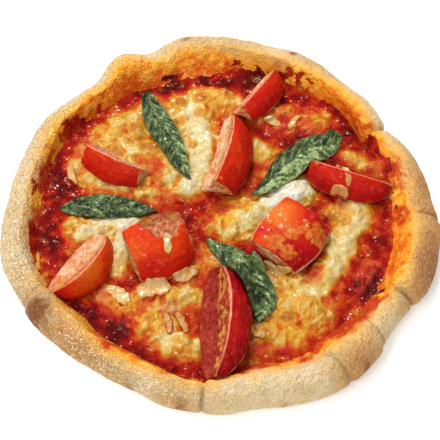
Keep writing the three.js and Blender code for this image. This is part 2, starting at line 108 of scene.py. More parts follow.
def noise(x, y, z=0.0, size=1.0, seed=0):
    """Gradient noise from about -1 to 1. Space is cut into cubes of this size; every corner of a cube has a
    random slope of its own, and a point blends the eight slopes round it by how near it is to each."""
    axes = []
    for value, stride in zip(np.broadcast_arrays(x, y, z), STRIDES):
        value = value / size + 7.31 * seed
        cell = np.floor(value)
        inside = (value - cell).astype(np.float32)
        fade = inside**3 * (inside * (6 * inside - 15) + 10)
        key = cell.astype(np.int64) * stride
        axes.append(((key, inside, 1 - fade), (key + stride, inside - 1, fade)))
    total = 0.0
    for (key_x, dx, wx), (key_y, dy, wy), (key_z, dz, wz) in itertools.product(*axes):
        key = key_x ^ key_y ^ key_z
        key = (key ^ (key >> 13)) * SCRAMBLE
        key = (key ^ (key >> 16)) & (SLOPE_COUNT - 1)
        total = total + wx * wy * wz * (dx * SLOPES[0, key] + dy * SLOPES[1, key] + dz * SLOPES[2, key])
    return 1.6 * total


def fractal(x, y, z=0.0, size=1.0, octaves=3, seed=0):
    """Noise of this size with finer copies on it, each half as large and half as strong as the last."""
    return sum(noise(x, y, z, size / 2**k, seed + k) / 2**k for k in range(octaves))


sample = fractal(*np.random.default_rng(1).uniform(-50, 50, (3, 20000)), size=6)
print("noise runs from", round(sample.min(), 2), "to", round(sample.max(), 2))

# %% [markdown]
# ## From grids to meshes
#
# Every piece is a skin over a grid of points. A grid that runs round, such as the bread's rim, is closed
# by a fan of triangles at each end. A grid that lies flat, such as a sheet of cheese, is closed by a
# second skin below it and a wall round its edge. A shell keeps its points, its faces, and the numbers at
# its points that the finish needs.

# %% Define the shells
MM = 0.001


def grid_quads(rows, columns, round_about=False):
    """Four-sided faces between the neighbours of a grid; round_about joins the last column to the first."""
    index = np.arange(rows * columns).reshape(rows, columns)
    if round_about:
        index = np.hstack((index, index[:, :1]))
    return np.stack((index[:-1, :-1], index[:-1, 1:], index[1:, 1:], index[1:, :-1]), -1).reshape(-1, 4)


def round_shell(grid, **measures):
    """A closed skin over a grid (rows, columns, 3) whose columns run round it. A fan at each end goes to
    the mean of the end row. Measures are numbers at the grid's points."""
    rows, columns = grid.shape[:2]
    points = np.vstack((grid.reshape(-1, 3), grid[0].mean(0), grid[-1].mean(0)))
    here = np.arange(columns)
    beside = (here + 1) % columns
    last_row = (rows - 1) * columns
    middle = np.full(columns, rows * columns)
    first = np.stack((middle, beside, here), -1)
    last = np.stack((middle + 1, last_row + here, last_row + beside), -1)
    faces = [grid_quads(rows, columns, round_about=True), np.vstack((first, last))]
    full = {}
    for name, value in measures.items():
        full[name] = np.append(value.ravel(), (value[0].mean(), value[-1].mean()))
    return {"points": points, "faces": faces, "measures": full}


def sheet_shell(upper, lower, inside=None, **measures):
    """A closed sheet between two grids of points of one shape, upper and lower. Only the faces whose four
    corners are inside are kept, and every edge that just one of them has gets a wall."""
    rows, columns = upper.shape[:2]
    quads = grid_quads(rows, columns)
    if inside is not None:
        quads = quads[inside.ravel()[quads].all(1)]
    used, quads = np.unique(quads, return_inverse=True)
    quads = quads.reshape(-1, 4)
    count = len(used)
    start, end = quads.ravel(), np.roll(quads, -1, axis=1).ravel()
    rim = ~np.isin(start * count + end, end * count + start)
    start, end = start[rim], end[rim]
    wall = np.stack((start, start + count, end + count, end), -1)
    points = np.vstack((upper.reshape(-1, 3)[used], lower.reshape(-1, 3)[used]))
    full = {name: np.tile(value.ravel()[used], 2) for name, value in measures.items()}
    return {"points": points, "faces": [quads, quads[:, ::-1] + count, wall], "measures": full}


flat_count, round_count = len(grid_quads(3, 4)), len(grid_quads(3, 4, round_about=True))
print("a grid of 3 by 4 points has", flat_count, "faces, or", round_count, "when it runs round")

# %% [markdown]
# ## From shells to pieces
#
# Blender keeps a mesh as long lists: all the points, all the corners of the faces, and where each face
# starts. foreach_set fills such a list at once, which is far quicker than adding faces one by one. A face
# has to look outwards, and the volume tells whether it does, because it comes out below nothing otherwise.

# %% Define the piece maker
def volume_of(shell):
    """Volume inside a closed shell, from the tetrahedra between its faces and the origin; below nothing if
    the faces point inwards."""
    points = shell["points"]
    total = 0.0
    for face in shell["faces"]:
        for k in range(1, face.shape[1] - 1):
            a, b, c = points[face[:, 0]], points[face[:, k]], points[face[:, k + 1]]
            total += (a * np.cross(b, c)).sum() / 6
    return total


def add_piece(name, shell, finish, slot, *nodes):
    """Makes a mesh object of a shell, in metres, with its finish, and hides the packed model's parts for
    the nodes it stands for.
    """
    faces = shell["faces"]
    if volume_of(shell) < 0:
        faces = [face[:, ::-1] for face in faces]
    corners = np.concatenate([face.ravel() for face in faces])
    sides = np.concatenate([np.full(len(face), face.shape[1]) for face in faces])
    mesh = bpy.data.meshes.new(name)
    mesh.vertices.add(len(shell["points"]))
    mesh.vertices.foreach_set("co", (shell["points"] * MM).astype(np.float32).ravel())
    mesh.loops.add(len(corners))
    mesh.loops.foreach_set("vertex_index", corners.astype(np.int32))
    mesh.polygons.add(len(sides))
    mesh.polygons.foreach_set("loop_start", (np.cumsum(sides) - sides).astype(np.int32))
    mesh.polygons.foreach_set("use_smooth", np.ones(len(sides), bool))
    for key, value in shell["measures"].items():
        attribute = mesh.attributes.new(key, "FLOAT", "POINT")
        attribute.data.foreach_set("value", value.astype(np.float32))
    mesh.update(calc_edges=True)
    mesh.validate()
    mesh.materials.append(finish)
    piece = bpy.data.objects.new(name, mesh)
    bpy.context.collection.objects.link(piece)
    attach(piece, "root")
    if nodes:
        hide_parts(*nodes)
    print(f"{name}: {(sides - 2).sum()} triangles, {abs(volume_of(shell)) / 1000:.1f} cm³")
    return piece


square = np.array([[(0, 0, 10), (10, 0, 10)], [(0, 10, 10), (10, 10, 10)]], float)
block = sheet_shell(square, square - (0, 0, 10))
print("a block 10 mm to a side holds", abs(volume_of(block)) / 1000, "cm³")

# %% [markdown]
# ## Shader maths
#
# A material mixes the numbers stored on a mesh with noise of its own, which can be finer than the grid.
# Written out as nodes, even a short sum is long, so a small class wraps a socket and lets Python's own
# operators add the Math nodes.

# %% Define a number that varies over a surface
class Number:
    """A number that varies over a surface. Arithmetic on it adds Math nodes to its material."""

    def __init__(self, finish, socket):
        self.finish = finish
        self.socket = socket

    def math(self, operation, *values):
        sockets = dict(enumerate(values))
        return self.finish.node("ShaderNodeMath", {"operation": operation}, sockets)

    def __add__(self, other):
        return self.math("ADD", self, other)

    def __sub__(self, other):
        return self.math("SUBTRACT", self, other)

    def __rsub__(self, other):
        return self.math("SUBTRACT", other, self)

    def __mul__(self, other):
        return self.math("MULTIPLY", self, other)

    __radd__ = __add__
    __rmul__ = __mul__

    def step(self, low, high):
        """0 below low, 1 above high, and a soft rise between."""
        sockets = {"Value": self, "From Min": low, "From Max": high}
        return self.finish.node("ShaderNodeMapRange", {"interpolation_type": "SMOOTHSTEP"}, sockets)


print("operators that add Math nodes: + - *")

# %% [markdown]
# ## Finishes
#
# Every material here is one Principled shader. What is the same all over is set on the shader's own
# sockets, and what varies is linked to them. One method makes any other node, so that a ramp, a noise or a
# bump is one short line, and nodes such as these can be used in sums, because what comes back is a Number.

# %% Define the finish
NOISE_STRETCH = 3.4  # Blender's noise keeps within about 0.3 of 0.5


class Finish:
    """A material with one Principled shader, whose fixed values are given by socket name."""

    def __init__(self, name, **fixed):
        self.material = bpy.data.materials.new(name)
        self.material.use_nodes = True
        self.tree = self.material.node_tree
        self.shader = self.tree.nodes["Principled BSDF"]
        for socket, value in fixed.items():
            self.shader.inputs[socket.replace("_", " ")].default_value = value
        self.place = self.node("ShaderNodeTexCoord", {}, {}, output="Object")

    def fill(self, socket, value):
        """Links a Number to a socket, or sets the socket's own value."""
        if isinstance(value, Number):
            self.tree.links.new(value.socket, socket)
        elif isinstance(value, tuple) and len(value) == 3 and len(socket.default_value) == 4:
            socket.default_value = (*value, 1)
        else:
            socket.default_value = value

    def node(self, kind, settings, sockets, output=0):
        """Any node: its settings are made first, then its sockets are filled by name or number."""
        made = self.tree.nodes.new(kind)
        for key, value in settings.items():
            if key == "stops":
                for place, _ in value[1:-1]:
                    made.color_ramp.elements.new(place)
                for element, (place, colour) in zip(made.color_ramp.elements, value):
                    element.position, element.color = place, (*colour, 1)
            else:
                setattr(made, key, value)
        for key, value in sockets.items():
            self.fill(made.inputs[key], value)
        return Number(self, made.outputs[output])

    def measure(self, name):
        """A number stored at the mesh's points."""
        return self.node("ShaderNodeAttribute", {"attribute_name": name}, {}, output="Fac")

    def noise(self, size, detail=2.0, seed=0):
        """Blender's noise, stretched to run from about -1 to 1, with features of this size in mm."""
        settings = {"noise_dimensions": "4D"}
        sockets = {"Vector": self.place, "W": float(seed), "Scale": 1 / (size * MM), "Detail": detail}
        return (self.node("ShaderNodeTexNoise", settings, sockets, output="Fac") - 0.5) * NOISE_STRETCH

    def mix(self, first, second, amount):
        """A colour that goes from the first to the second."""
        sockets = {"Factor": amount, 6: first, 7: second}
        return self.node("ShaderNodeMix", {"data_type": "RGBA"}, sockets, output=2)

    def shade(self, colour, amount):
        """A colour made darker or brighter: all three parts times the same number."""
        return self.node("ShaderNodeVectorMath", {"operation": "SCALE"}, {0: colour, "Scale": amount})

    def ramp(self, value, *stops):
        """A colour from (place, colour) stops, where a place is a number on the value's own scale."""
        low, high = stops[0][0], stops[-1][0]
        stops = [((place - low) / (high - low), colour) for place, colour in stops]
        settings = {"stops": stops}
        return self.node("ShaderNodeValToRGB", settings, {"Fac": (value - low) * (1 / (high - low))})

    def bump(self, height, distance):
        """Relief from a number, where 1 stands this many millimetres high."""
        normal = self.node("ShaderNodeBump", {}, {"Height": height, "Distance": distance * MM})
        self.fill(self.shader.inputs["Normal"], normal)

    def feed(self, **values):
        """Links numbers and colours to the shader."""
        for socket, value in values.items():
            self.fill(self.shader.inputs[socket.replace("_", " ")], value)


print("a finish has these methods:", [name for name in vars(Finish) if not name.startswith("_")])

# %% [markdown]
# ## The light and the table
#
# The picture is a bright studio shot on white, with soft shadows and small crisp glints on everything wet.
# A bright surround alone would wash the dark sauce out, because every glossy point would reflect it. So
# the surround is dim, and large soft lamps do the work: one from behind, one from the front, and one from
# the left, where the rim is brightest. A small one near the camera gives the crisp glints, and the table
# shines faintly, like a light box.

# %% Light the scene and lay the table
def add_lamp(name, place, size, power):
    """A square soft lamp at a place in metres, facing the pizza."""
    data = bpy.data.lights.new(name, "AREA")
    data.size = size
    data.energy = power
    lamp = bpy.data.objects.new(name, data)
    lamp.location = place
    lamp.rotation_euler = Vector(place).to_track_quat("Z", "Y").to_euler()
    bpy.context.collection.objects.link(lamp)


add_lamp("lamp_behind", (-0.15, 0.75, 0.95), 0.4, 11.4)
add_lamp("lamp_front", (-0.1, -1.0, 0.9), 1.4, 5.4)
add_lamp("lamp_glint", (-0.45, -0.6, 1.2), 0.16, 2)
add_lamp("lamp_left", (-0.7, -0.2, 1.1), 1.2, 8)

PLAIN_WHITE = (1, 1, 1, 1)
world = bpy.data.worlds.new("surround")
world.use_nodes = True
background = world.node_tree.nodes["Background"]
background.inputs["Color"].default_value = PLAIN_WHITE
background.inputs["Strength"].default_value = 0.44
bpy.context.scene.world = world
bpy.context.scene.view_settings.view_transform = "Standard"

table_finish = Finish(
    "pale_table", Base_Color=PLAIN_WHITE, Roughness=0.6, Emission_Color=PLAIN_WHITE, Emission_Strength=0.2
)
table_mesh = bpy.data.meshes.new("table")
table_mesh.from_pydata([(-3, -3, 0), (3, -3, 0), (3, 3, 0), (-3, 3, 0)], [], [(0, 1, 2, 3)])
table_mesh.materials.append(table_finish.material)
table = bpy.data.objects.new("table", table_mesh)
bpy.context.collection.objects.link(table)
print("lamps and table are in place")

# %% [markdown]
# ## The shape of the bread
#
# The rim was rolled and pinched by hand, so it is nowhere quite round: its reach, the foot of its inner
# slope and its height differ from place to place. A table gives them at some bearings, and a smooth
# curve through the table gives them everywhere. A fold is a groove with a step beside it.

# %% Describe the rim
GAP = 0.3  # between the bread and the sauce's level underside
BASE = 5.5  # bread under the sauce
SAUCE = 1.5  # sauce on the level floor
CREST_INSET = 11.0  # from the rim's outer edge in to its crest
UNDERCUT = 8.0  # from the outer edge in to where the bread touches the table
WAIST = 0.42  # height of the widest line, as a share of the rim's height
STEP_FADE = 12.0  # from a fold to where its step is highest
RIM_MIDDLE = 105.0  # radius at which distances along the rim are measured
# A place across the rim runs from 0 at the slope's foot to 1 under the outer edge.
CREST_AT, WAIST_AT = 0.44, 0.72

# Bearing, outer edge, foot of the inner slope, height, and how far out the sauce has stained the bread.
RIM = np.array([
    (0, 115, 87, 19, 100.7), (20, 112, 86, 20, 100.5), (31, 106.5, 89, 17.5, 99.6),
    (45, 108, 94, 17.5, 103), (62, 112, 92, 18.5, 101), (80, 114, 95, 18.5, 101), (99, 117.5, 88, 20, 105),
    (110, 112.3, 87, 18, 101), (119, 117, 90, 20, 107.5), (129, 110.8, 92, 17.5, 104),
    (148, 112.8, 95, 18, 104), (165, 113.2, 95, 18, 101.5), (180, 114.3, 93, 19.5, 100),
    (195, 117.5, 94, 20.5, 99.5), (207, 115.8, 95, 20, 101), (222, 111.5, 90, 18.5, 99),
    (240, 109.5, 90, 18, 102.5), (258, 112.8, 91, 19, 102), (268, 112.7, 93, 18.5, 101),
    (280, 112.4, 85, 20, 97), (295, 116.6, 87, 20.5, 98), (312, 114.6, 85, 19.5, 101.5),
    (325, 112.6, 87, 18.5, 100), (340, 114.5, 90, 19.5, 104),
])
OUT, FOOT, HIGH, STAIN = 1, 2, 3, 4


def around_rim(column, bearing):
    """A column of the table at any bearing, by a cubic curve through the two rows beside it, whose slope at
    each row is that of the line between the row's own neighbours."""
    rows = np.vstack((RIM[-1:], RIM, RIM[:3]))
    at = rows[:, 0] + np.repeat((-360, 0, 360), (1, len(RIM), 3))
    b = np.asarray(bearing) % 360
    i = np.searchsorted(at, b, side="right") - 1
    span = at[i + 1] - at[i]
    t = (b - at[i]) / span
    value = rows[:, column]
    slope_here = span * (value[i + 1] - value[i - 1]) / (at[i + 1] - at[i - 1])
    slope_next = span * (value[i + 2] - value[i]) / (at[i + 2] - at[i])
    return (
        (2 * t**3 - 3 * t**2 + 1) * value[i]
        + (t**3 - 2 * t**2 + t) * slope_here
        + (3 * t**2 - 2 * t**3) * value[i + 1]
        + (t**3 - t**2) * slope_next
    )


print("outer edge in front", round(float(around_rim(OUT, 270.0)), 1), "mm from the middle")

# %% [markdown]
# ## Folds and lumps
#
# Where the dough was folded over itself, a crease runs across the rim and one side stands higher. The oven
# then puffed the dough up in soft lumps, and boiled the sauce on the inner slope into crags. All of these
# are lifts added to the plain rim, so each is a small function of the place, and they can simply be summed.

# %% Shape the folds and lumps
# Bearing, lean in degrees from foot to edge, depth, width, and step up on the anticlockwise side.
FOLDS = [
    (30.5, 3, 2.4, 2.2, 1.6), (303, 6, 1.3, 1.6, 1.0), (318, -4, 1.2, 1.6, -0.9), (331.5, 2, 2.2, 1.8, 1.5),
    (358, -2, 1.8, 1.7, -1.2), (265.5, -1, 1.6, 1.3, 0.5), (208, 4, 1.5, 2.6, 1.2),
]


def fold_distance(bearing, across, at, lean):
    """Distance in mm along the rim from a fold's line, anticlockwise."""
    return RIM_MIDDLE * np.radians((bearing - at - lean * (across - 0.5) + 180) % 360 - 180)


def fading(across):
    """The square root of a half sine wave: 0 at the slope's foot and under the edge, up to 1 between."""
    return np.sin(np.pi * np.clip(across, 0, 1)) ** 0.5


def rim_relief(bearing, across):
    """Lift of the surface by folds and slow unevenness. A fold takes away deep * exp(-(distance / wide)²)
    and adds a step that rises and fades."""
    lift = 0.5 * np.sin(np.radians(9 * bearing) + 5 * across)
    lift = lift + 0.35 * np.sin(np.radians(17 * bearing) - 7 * across)
    for at, lean, deep, wide, step in FOLDS:
        along = fold_distance(bearing, across, at, lean)
        far = along / STEP_FADE
        lift = lift - deep * np.exp(-((along / wide) ** 2))
        lift = lift + step * np.e * far * np.exp(-np.abs(far))
    return lift * fading(across)


def crags(x, y, z):
    """Boiled-on sauce: lumps of 5 mm with finer ones on them."""
    return fractal(x, y, z, size=5, octaves=3, seed=13)


def dough_relief(x, y, z, across):
    """The bread's own unevenness: soft puffs about 2 cm wide, lumps of 5 mm, a fine grain of crumbs that is
    strongest where the rim is toasted, on the left, and crags where sauce boiled on the inner slope."""
    toasted = smoothstep(20, -90, x)
    puffs = 0.9 * fractal(x, y, z, size=19, octaves=2, seed=1)
    lumps = 0.3 * fractal(x, y, z, size=5, octaves=2, seed=5)
    crumbs = mix(0.05, 0.16, toasted) * fractal(x, y, z, size=1.7, octaves=2, seed=9)
    on_slope = smoothstep(0.03, 0.12, across) * smoothstep(CREST_AT, CREST_AT - 0.1, across)
    return (puffs + lumps + crumbs + 0.65 * on_slope * crags(x, y, z)) * fading(across)


def polar(x, y):
    """Bearing in degrees and distance from the middle."""
    return np.degrees(np.arctan2(y, x)) % 360, np.hypot(x, y)


def bread_height(x, y):
    """Height of the bread's upper surface: level at BASE, then half a cosine wave up the inner slope to the
    crest, then a quarter of an ellipse down to the outer edge."""
    bearing, r = polar(x, y)
    out, foot, high = (around_rim(column, bearing) for column in (OUT, FOOT, HIGH))
    crest = out - CREST_INSET
    down = np.clip((crest - r) / (crest - foot), 0, 1)
    slope = BASE + (high - BASE) * (1 + np.cos(np.pi * down)) / 2
    bulge = np.sqrt(np.clip(1 - ((r - crest) / CREST_INSET) ** 2, 0, 1))
    arc = WAIST * high + (1 - WAIST) * high * bulge
    z = np.where(r < crest, slope, arc)
    beyond = WAIST_AT - (WAIST_AT - CREST_AT) * np.degrees(np.arcsin(bulge)) / 90
    across = np.where(r < crest, CREST_AT * (1 - down), beyond)
    return z + rim_relief(bearing, across) + dough_relief(x, y, z, across)


print("rim height", round(float(bread_height(np.array([0.0]), np.array([-100.0]))[0]), 1), "mm in front")

# %% [markdown]
# ## The bread's skin
#
# The crust is one skin from the middle of the underside, round the rim, and down into the well. It is a
# grid with its rows across the rim and its columns round it, and the columns stand closer at the folds,
# where the shape changes fast. The fine relief is added square to the surface, as real blisters grow.

# %% Build the crust
CRUST_COLUMNS = 840
EDGE_ROWS, SLOPE_ROWS = 63, 40


def normals_of(grid, round_about=False):
    """Unit vectors square to a grid's surface: the cross product of the steps along a row and a column."""
    if round_about:
        across = np.roll(grid, -1, axis=1) - np.roll(grid, 1, axis=1)
    else:
        across = np.gradient(grid, axis=1)
    normal = np.cross(across, np.gradient(grid, axis=0))
    return normal / np.maximum(np.linalg.norm(normal, axis=-1, keepdims=True), 1e-9)


def crust_bearings():
    """Bearings of the columns: evenly spread along a sum that grows four times as fast beside a fold."""
    fine = np.linspace(0, 360, 7201)
    density = np.ones_like(fine)
    for fold in FOLDS:
        from_fold = (fine - fold[0] + 180) % 360 - 180
        density += 3 * np.exp(-((from_fold / 2.2) ** 2))
    total = np.concatenate(([0], np.cumsum((density[1:] + density[:-1]) / 2)))
    return np.interp(np.linspace(0, total[-1], CRUST_COLUMNS, endpoint=False), total, fine)


def crust_shell():
    """Rows: the level underside, the half ellipse from under the edge over to the crest, the cosine slope
    into the well, and the well's floor, each as (distance, height, place across, direction of relief)."""
    bearing = crust_bearings()[None, :]
    out, foot, high = (around_rim(column, bearing) for column in (OUT, FOOT, HIGH))
    under = np.array([0.1, 0.25, 0.4, 0.55, 0.7, 0.82, 0.92, 0.98])[:, None]
    turn = np.radians(np.linspace(-90, 90, EDGE_ROWS))[:, None]
    down = np.linspace(0, 1, SLOPE_ROWS + 1)[1:, None]
    floor = np.array([0.96, 0.88, 0.6, 0.3, 0.08])[:, None]
    low = turn < 0
    inset = np.where(low, UNDERCUT, CREST_INSET)
    half_height = np.where(low, WAIST, 1 - WAIST) * high
    crest = out - CREST_INSET
    rows = [
        (under * (out - UNDERCUT), 0 * under * out, 1 + 0 * under, 0 * under, 0 * under),
        (out - inset + inset * np.cos(turn), WAIST * high + half_height * np.sin(turn),
         WAIST_AT - (WAIST_AT - CREST_AT) * turn / np.radians(90), np.cos(turn), np.sin(turn)),
        (mix(crest, foot, down), BASE + (high - BASE) * (1 + np.cos(np.pi * down)) / 2,
         CREST_AT * (1 - down), -0.6 * np.sin(np.pi * down), 1 + 0 * down),
        (floor * foot, BASE + 0 * floor * foot, 0 * floor, 0 * floor, 1 + 0 * floor),
    ]
    r, z, across, outward, upward = (
        np.vstack([np.broadcast_to(row[k], (len(row[2]), CRUST_COLUMNS)) for row in rows]) for k in range(5)
    )
    lift = rim_relief(bearing, across)
    r = r + lift * outward
    z = np.maximum(z + lift * upward, 0)
    angle = np.radians(bearing)
    grid = np.stack((r * np.cos(angle), r * np.sin(angle), z), -1)
    fine = dough_relief(grid[..., 0], grid[..., 1], grid[..., 2], across)
    grid = grid + fine[..., None] * normals_of(grid, round_about=True)
    grid[..., 2] = np.maximum(grid[..., 2], 0)
    return grid, bearing + 0 * r, across + 0 * r


crust_grid, crust_bearing, crust_across = crust_shell()
print("crust grid", crust_grid.shape)

# %% [markdown]
# ## What the oven and the sauce did to the bread
#
# The bread is pale and floury on the right and in front, toasted gold on the left, with brown spots where
# a blister came near the fire. Sauce and oil soaked the inner slope orange, deep red where it lay thick.
# These are slow changes over centimetres, so they are stored at the grid's points; the material adds grain.

# %% Store the bread's measures
def spots(x, y, table):
    """Soft round spots, each 1 at its middle and 0 from its radius out: (1 - (distance / radius)²)² times
    the spot's strength. Where spots overlap, the stronger one counts."""
    result = np.zeros(np.shape(x))
    for middle_x, middle_y, radius, strength in table:
        near = ((x - middle_x) ** 2 + (y - middle_y) ** 2) / radius**2
        result = np.maximum(result, strength * np.clip(1 - near, 0, 1) ** 2)
    return result


# Spots as x, y, radius and strength: how toasted, how brown, and how thick the red sauce on the slope is.
# The strong toast spots on the right, at (114, 10) and (108, -35), also paint shade onto that side.
TOAST_AND_SHADE = [
    (-105, -20, 80, 0.08), (-80, -80, 60, 0.58), (-60, 95, 45, 0.15), (0, 112, 50, 0.36),
    (75, -95, 30, 0.7), (60, 95, 40, 0.32), (-20, -112, 30, 0.3), (114, 10, 50, 0.75), (108, -35, 40, 0.85),
    (-100, 45, 40, 0.15),
]
BROWN = [
    (-93, -61, 13, 1), (-46, -101, 8, 0.6), (-20, -112, 7, 0.7), (32, -112, 5, 0.9), (74, -90, 5, 0.7),
    (92, -74, 6, 1), (41, 100, 4, 0.9), (-19, 110, 4, 0.8), (-48, 107, 5, 1), (101, -58, 5, 1),
    (-50, 102, 7, 0.5), (28, 108, 5, 0.4), (-84, -90, 7, 0.4), (96, -66, 6, 0.7),
]
RED = [
    (99, 20, 16, 1.0), (100, 0, 14, 0.7), (95, 26, 12, 1.0), (72, -60, 20, 1.7), (60, -72, 14, 0.9),
    (-86, 28, 16, 0.9), (-98, 23, 14, 1.4), (-96, 40, 12, 0.5), (-97, 0, 14, 1.0), (84, 52, 16, 0.6),
    (30, 88, 18, 0.7), (10, 92, 14, 0.4), (-75, 55, 14, 0.5), (-60, -78, 16, 0.6), (20, -92, 18, 0.8),
    (-25, -96, 14, 0.5), (45, -84, 16, 0.8),
]

CREASE_WIDTH = 0.9

cx, cy, cz = np.moveaxis(crust_grid, -1, 0)
_, cr = polar(cx, cy)
on_top = smoothstep(0.62, 0.52, crust_across)
ragged = 2.2 * fractal(cx, cy, cz, size=9, octaves=4, seed=21)
soak = (around_rim(STAIN, crust_bearing) - cr + ragged) * on_top - 20 * (1 - on_top)
toast = spots(cx, cy, TOAST_AND_SHADE) + 0.12 * fractal(cx, cy, cz, size=14, octaves=3, seed=31)
# crease marks each fold's crease, where the finish paints shade in dark brown.
crease = np.zeros_like(cx)
for at, lean, deep, *_ in FOLDS:
    near = fold_distance(crust_bearing, crust_across, at, lean)
    crease = np.maximum(crease, np.exp(-((near / CREASE_WIDTH) ** 2)) * min(deep / 2, 1))
crust = round_shell(
    crust_grid,
    soak=soak,
    toast=np.clip(toast, 0, 1),
    brown=spots(cx, cy, BROWN) * smoothstep(0.95, 0.8, crust_across),
    red=spots(cx, cy, RED),
    crease=crease * np.sin(np.pi * np.clip(crust_across, 0, 1)),
    under=smoothstep(0.9, 0.99, crust_across),
    coarse=smoothstep(40, -80, cx),
    crag=crags(cx, cy, cz),
)
print("soaked share of the bread's grid:", round(float((soak > 0).mean()), 2))

# %% [markdown]
# ## The bread's finish
#
# Bread is matt and its colour changes from crumb to crumb: a dusting of flour on top, toasted specks
# between, dark blisters where it nearly burned. Only the soaked slope shines. The stored measures say where
# each of these is strong, noise breaks them up, and they are laid over one another like coats of paint.

# %% Mix the bread's colours and add it
FLOUR = (0.97, 0.76, 0.53)
TOASTED_SPECK = (0.56, 0.24, 0.06)
NEARLY_BURNT = (0.20, 0.045, 0.012)
PAINTED_CREASE_SHADE = (0.20, 0.09, 0.03)
UNDERSIDE = (0.42, 0.22, 0.09)
OIL_GOLD, OIL_ORANGE = (1.0, 0.46, 0.03), (0.84, 0.16, 0.005)
DRIED_LUMP_AND_HIGHLIGHT = (0.98, 0.56, 0.11)
BOILED_SAUCE = (0.54, 0.026, 0.006)
OILY_EDGE = (0.86, 0.46, 0.11)

bread = Finish("baked_bread", Coat_Roughness=0.12, Specular_IOR_Level=0.15)
grain = bread.noise(2.2, detail=3, seed=1)
cloud = bread.noise(9, detail=3, seed=2)
dust = bread.noise(0.9, detail=2, seed=3)
coarse = bread.measure("coarse") * 0.7 + 0.5
depth = bread.measure("toast") + cloud * 0.16 + grain * 0.22 * coarse
dough = bread.ramp(
    depth,
    (-0.3, (0.86, 0.71, 0.49)), (0.1, (0.70, 0.50, 0.25)), (0.4, (0.58, 0.34, 0.125)),
    (0.62, (0.54, 0.26, 0.08)), (0.85, (0.40, 0.15, 0.04)), (1.2, (0.16, 0.05, 0.018)),
)
dough = bread.mix(dough, FLOUR, dust.step(0.0, 0.8) * coarse * 0.8)
dough = bread.mix(dough, TOASTED_SPECK, (dust * -1.0).step(0.15, 0.9) * coarse * 0.6)
scorch = (bread.measure("brown") + grain * 0.35 + dust * 0.2).step(0.1, 1.0)
dough = bread.mix(dough, NEARLY_BURNT, scorch * 0.85)
# Painted shade in the creases of the folds.
dough = bread.mix(dough, PAINTED_CREASE_SHADE, bread.measure("crease") * 0.7)
dough = bread.mix(dough, UNDERSIDE, bread.measure("under") * 0.7)
soaked = bread.measure("soak") + grain * 1.2
crag = bread.measure("crag")
oil = soaked * 0.12 + cloud * 0.4 + grain * 0.15 - crag * 0.5
stain = bread.mix(OIL_GOLD, OIL_ORANGE, oil.step(0.0, 1.2))
red = bread.measure("red") + soaked * 0.04 + cloud * 0.4 + grain * 0.15 - crag * 0.4
# Painted highlight, partly the paler colour of dried lumps: the tops of the crags are lightened to gold.
stain = bread.mix(stain, DRIED_LUMP_AND_HIGHLIGHT, (dust * 0.3 + grain * 0.4 + crag * 0.8).step(0.1, 0.9) * 0.6)
stain = bread.mix(stain, BOILED_SAUCE, red.step(0.3, 1.1) * 0.9)
dough = bread.mix(dough, OILY_EDGE, (soaked + cloud * 3).step(-6, 0) * 0.7)
wet = soaked.step(-1.5, 3.5)
# Painted light and shade: the coarse term lightens the left of the bread and darkens the right.
crumbs_and_painted_side_light = 0.89 + coarse * 0.1 + dust * 0.24 * coarse + grain * 0.12 + cloud * 0.12
surface = bread.shade(bread.mix(dough, stain, wet), crumbs_and_painted_side_light)
bread.feed(Base_Color=surface, Roughness=0.7 - wet * 0.3, Coat_Weight=wet * dust.step(0.2, 0.4))
bread.bump(grain * 0.6 + dust * 0.65 * coarse, 1.1)
add_piece("bread_crust", crust, bread.material, "bread", "crust")

# %% [markdown]
# ## The cheese's outlines
#
# Grated cheese melts into sheets with lobed edges. Each sheet here is a few ovals that have run together:
# a point's reach is how far inside the nearest oval it is, and a soft maximum joins the ovals. Bending the
# plane with noise first turns the smooth ovals into lobes and bays. The sauce needs this too, because it is
# orange with oil beside the cheese and dark red away from it, so the outlines come before the sauce.

# %% Describe the cheese sheets
# Middle, long and wide diameters, turn of the long one in degrees, and thickness.
MELTS = {
    "cheese_upper_left": [
        (-6.6, 72, 44, 24, 8, 3.4), (-30, 66, 42, 28, 15, 3.6), (-52, 53.5, 42, 28, 25, 3.4),
        (-11, 44, 46, 30, -80, 4.4), (-38, 34.5, 54, 34, -15, 3.6), (-70, 31.5, 34, 26, -80, 3.2),
        (-48, 15.5, 46, 16, -5, 3.0), (-18.5, 19.5, 26, 20, 20, 3.4),
    ],
    "cheese_left": [
        (-56.5, -8, 52, 18, 3, 3.6), (-74, -8.5, 24, 20, 0, 4.0), (-55.5, -21, 37, 19, -82, 3.4),
        (-38, -13, 22, 16, 40, 3.2),
    ],
    "cheese_centre": [
        (39, 14, 28, 24, 20, 5.0), (18.5, 3.6, 46, 20, 15, 3.6), (8, -6.5, 36, 20, -8, 4.0),
        (22.5, 39.5, 26, 17, -60, 3.4), (30.5, 25.5, 22, 17, -50, 3.4),
    ],
    "cheese_right": [
        (69, 1.5, 28, 23, -30, 4.2), (64.5, -15.5, 30, 22, 70, 3.8), (56, -33.5, 44, 21, 62, 3.8),
        (38.5, -40, 38, 24, -25, 3.4), (36, -54, 48, 27, 8, 3.6), (29, -69, 40, 21, 10, 3.0),
        (50, -57, 26, 18, 40, 3.2),
    ],
    "cheese_lower_left": [
        (-28, -48.5, 46, 20, -3, 4.0), (-49, -54.5, 40, 20, -35, 3.2), (-35.5, -65.5, 36, 24, -30, 3.2),
        (-20, -76.5, 32, 20, -10, 4.2), (-15.5, -34, 26, 16, 40, 3.4), (-1, -27.5, 24, 13, -50, 3.0),
    ],
    "cheese_upper_right": [(37, 63, 40, 24, -12, 2.8), (51, 61, 28, 22, -30, 3.0)],
    "cheese_right_edge": [(77, 34.5, 28, 12, -30, 2.8), (70.5, 40, 14, 10, -20, 3.0)],
    "cheese_lower_right": [(76, -36, 24, 11, 60, 2.6)],
}


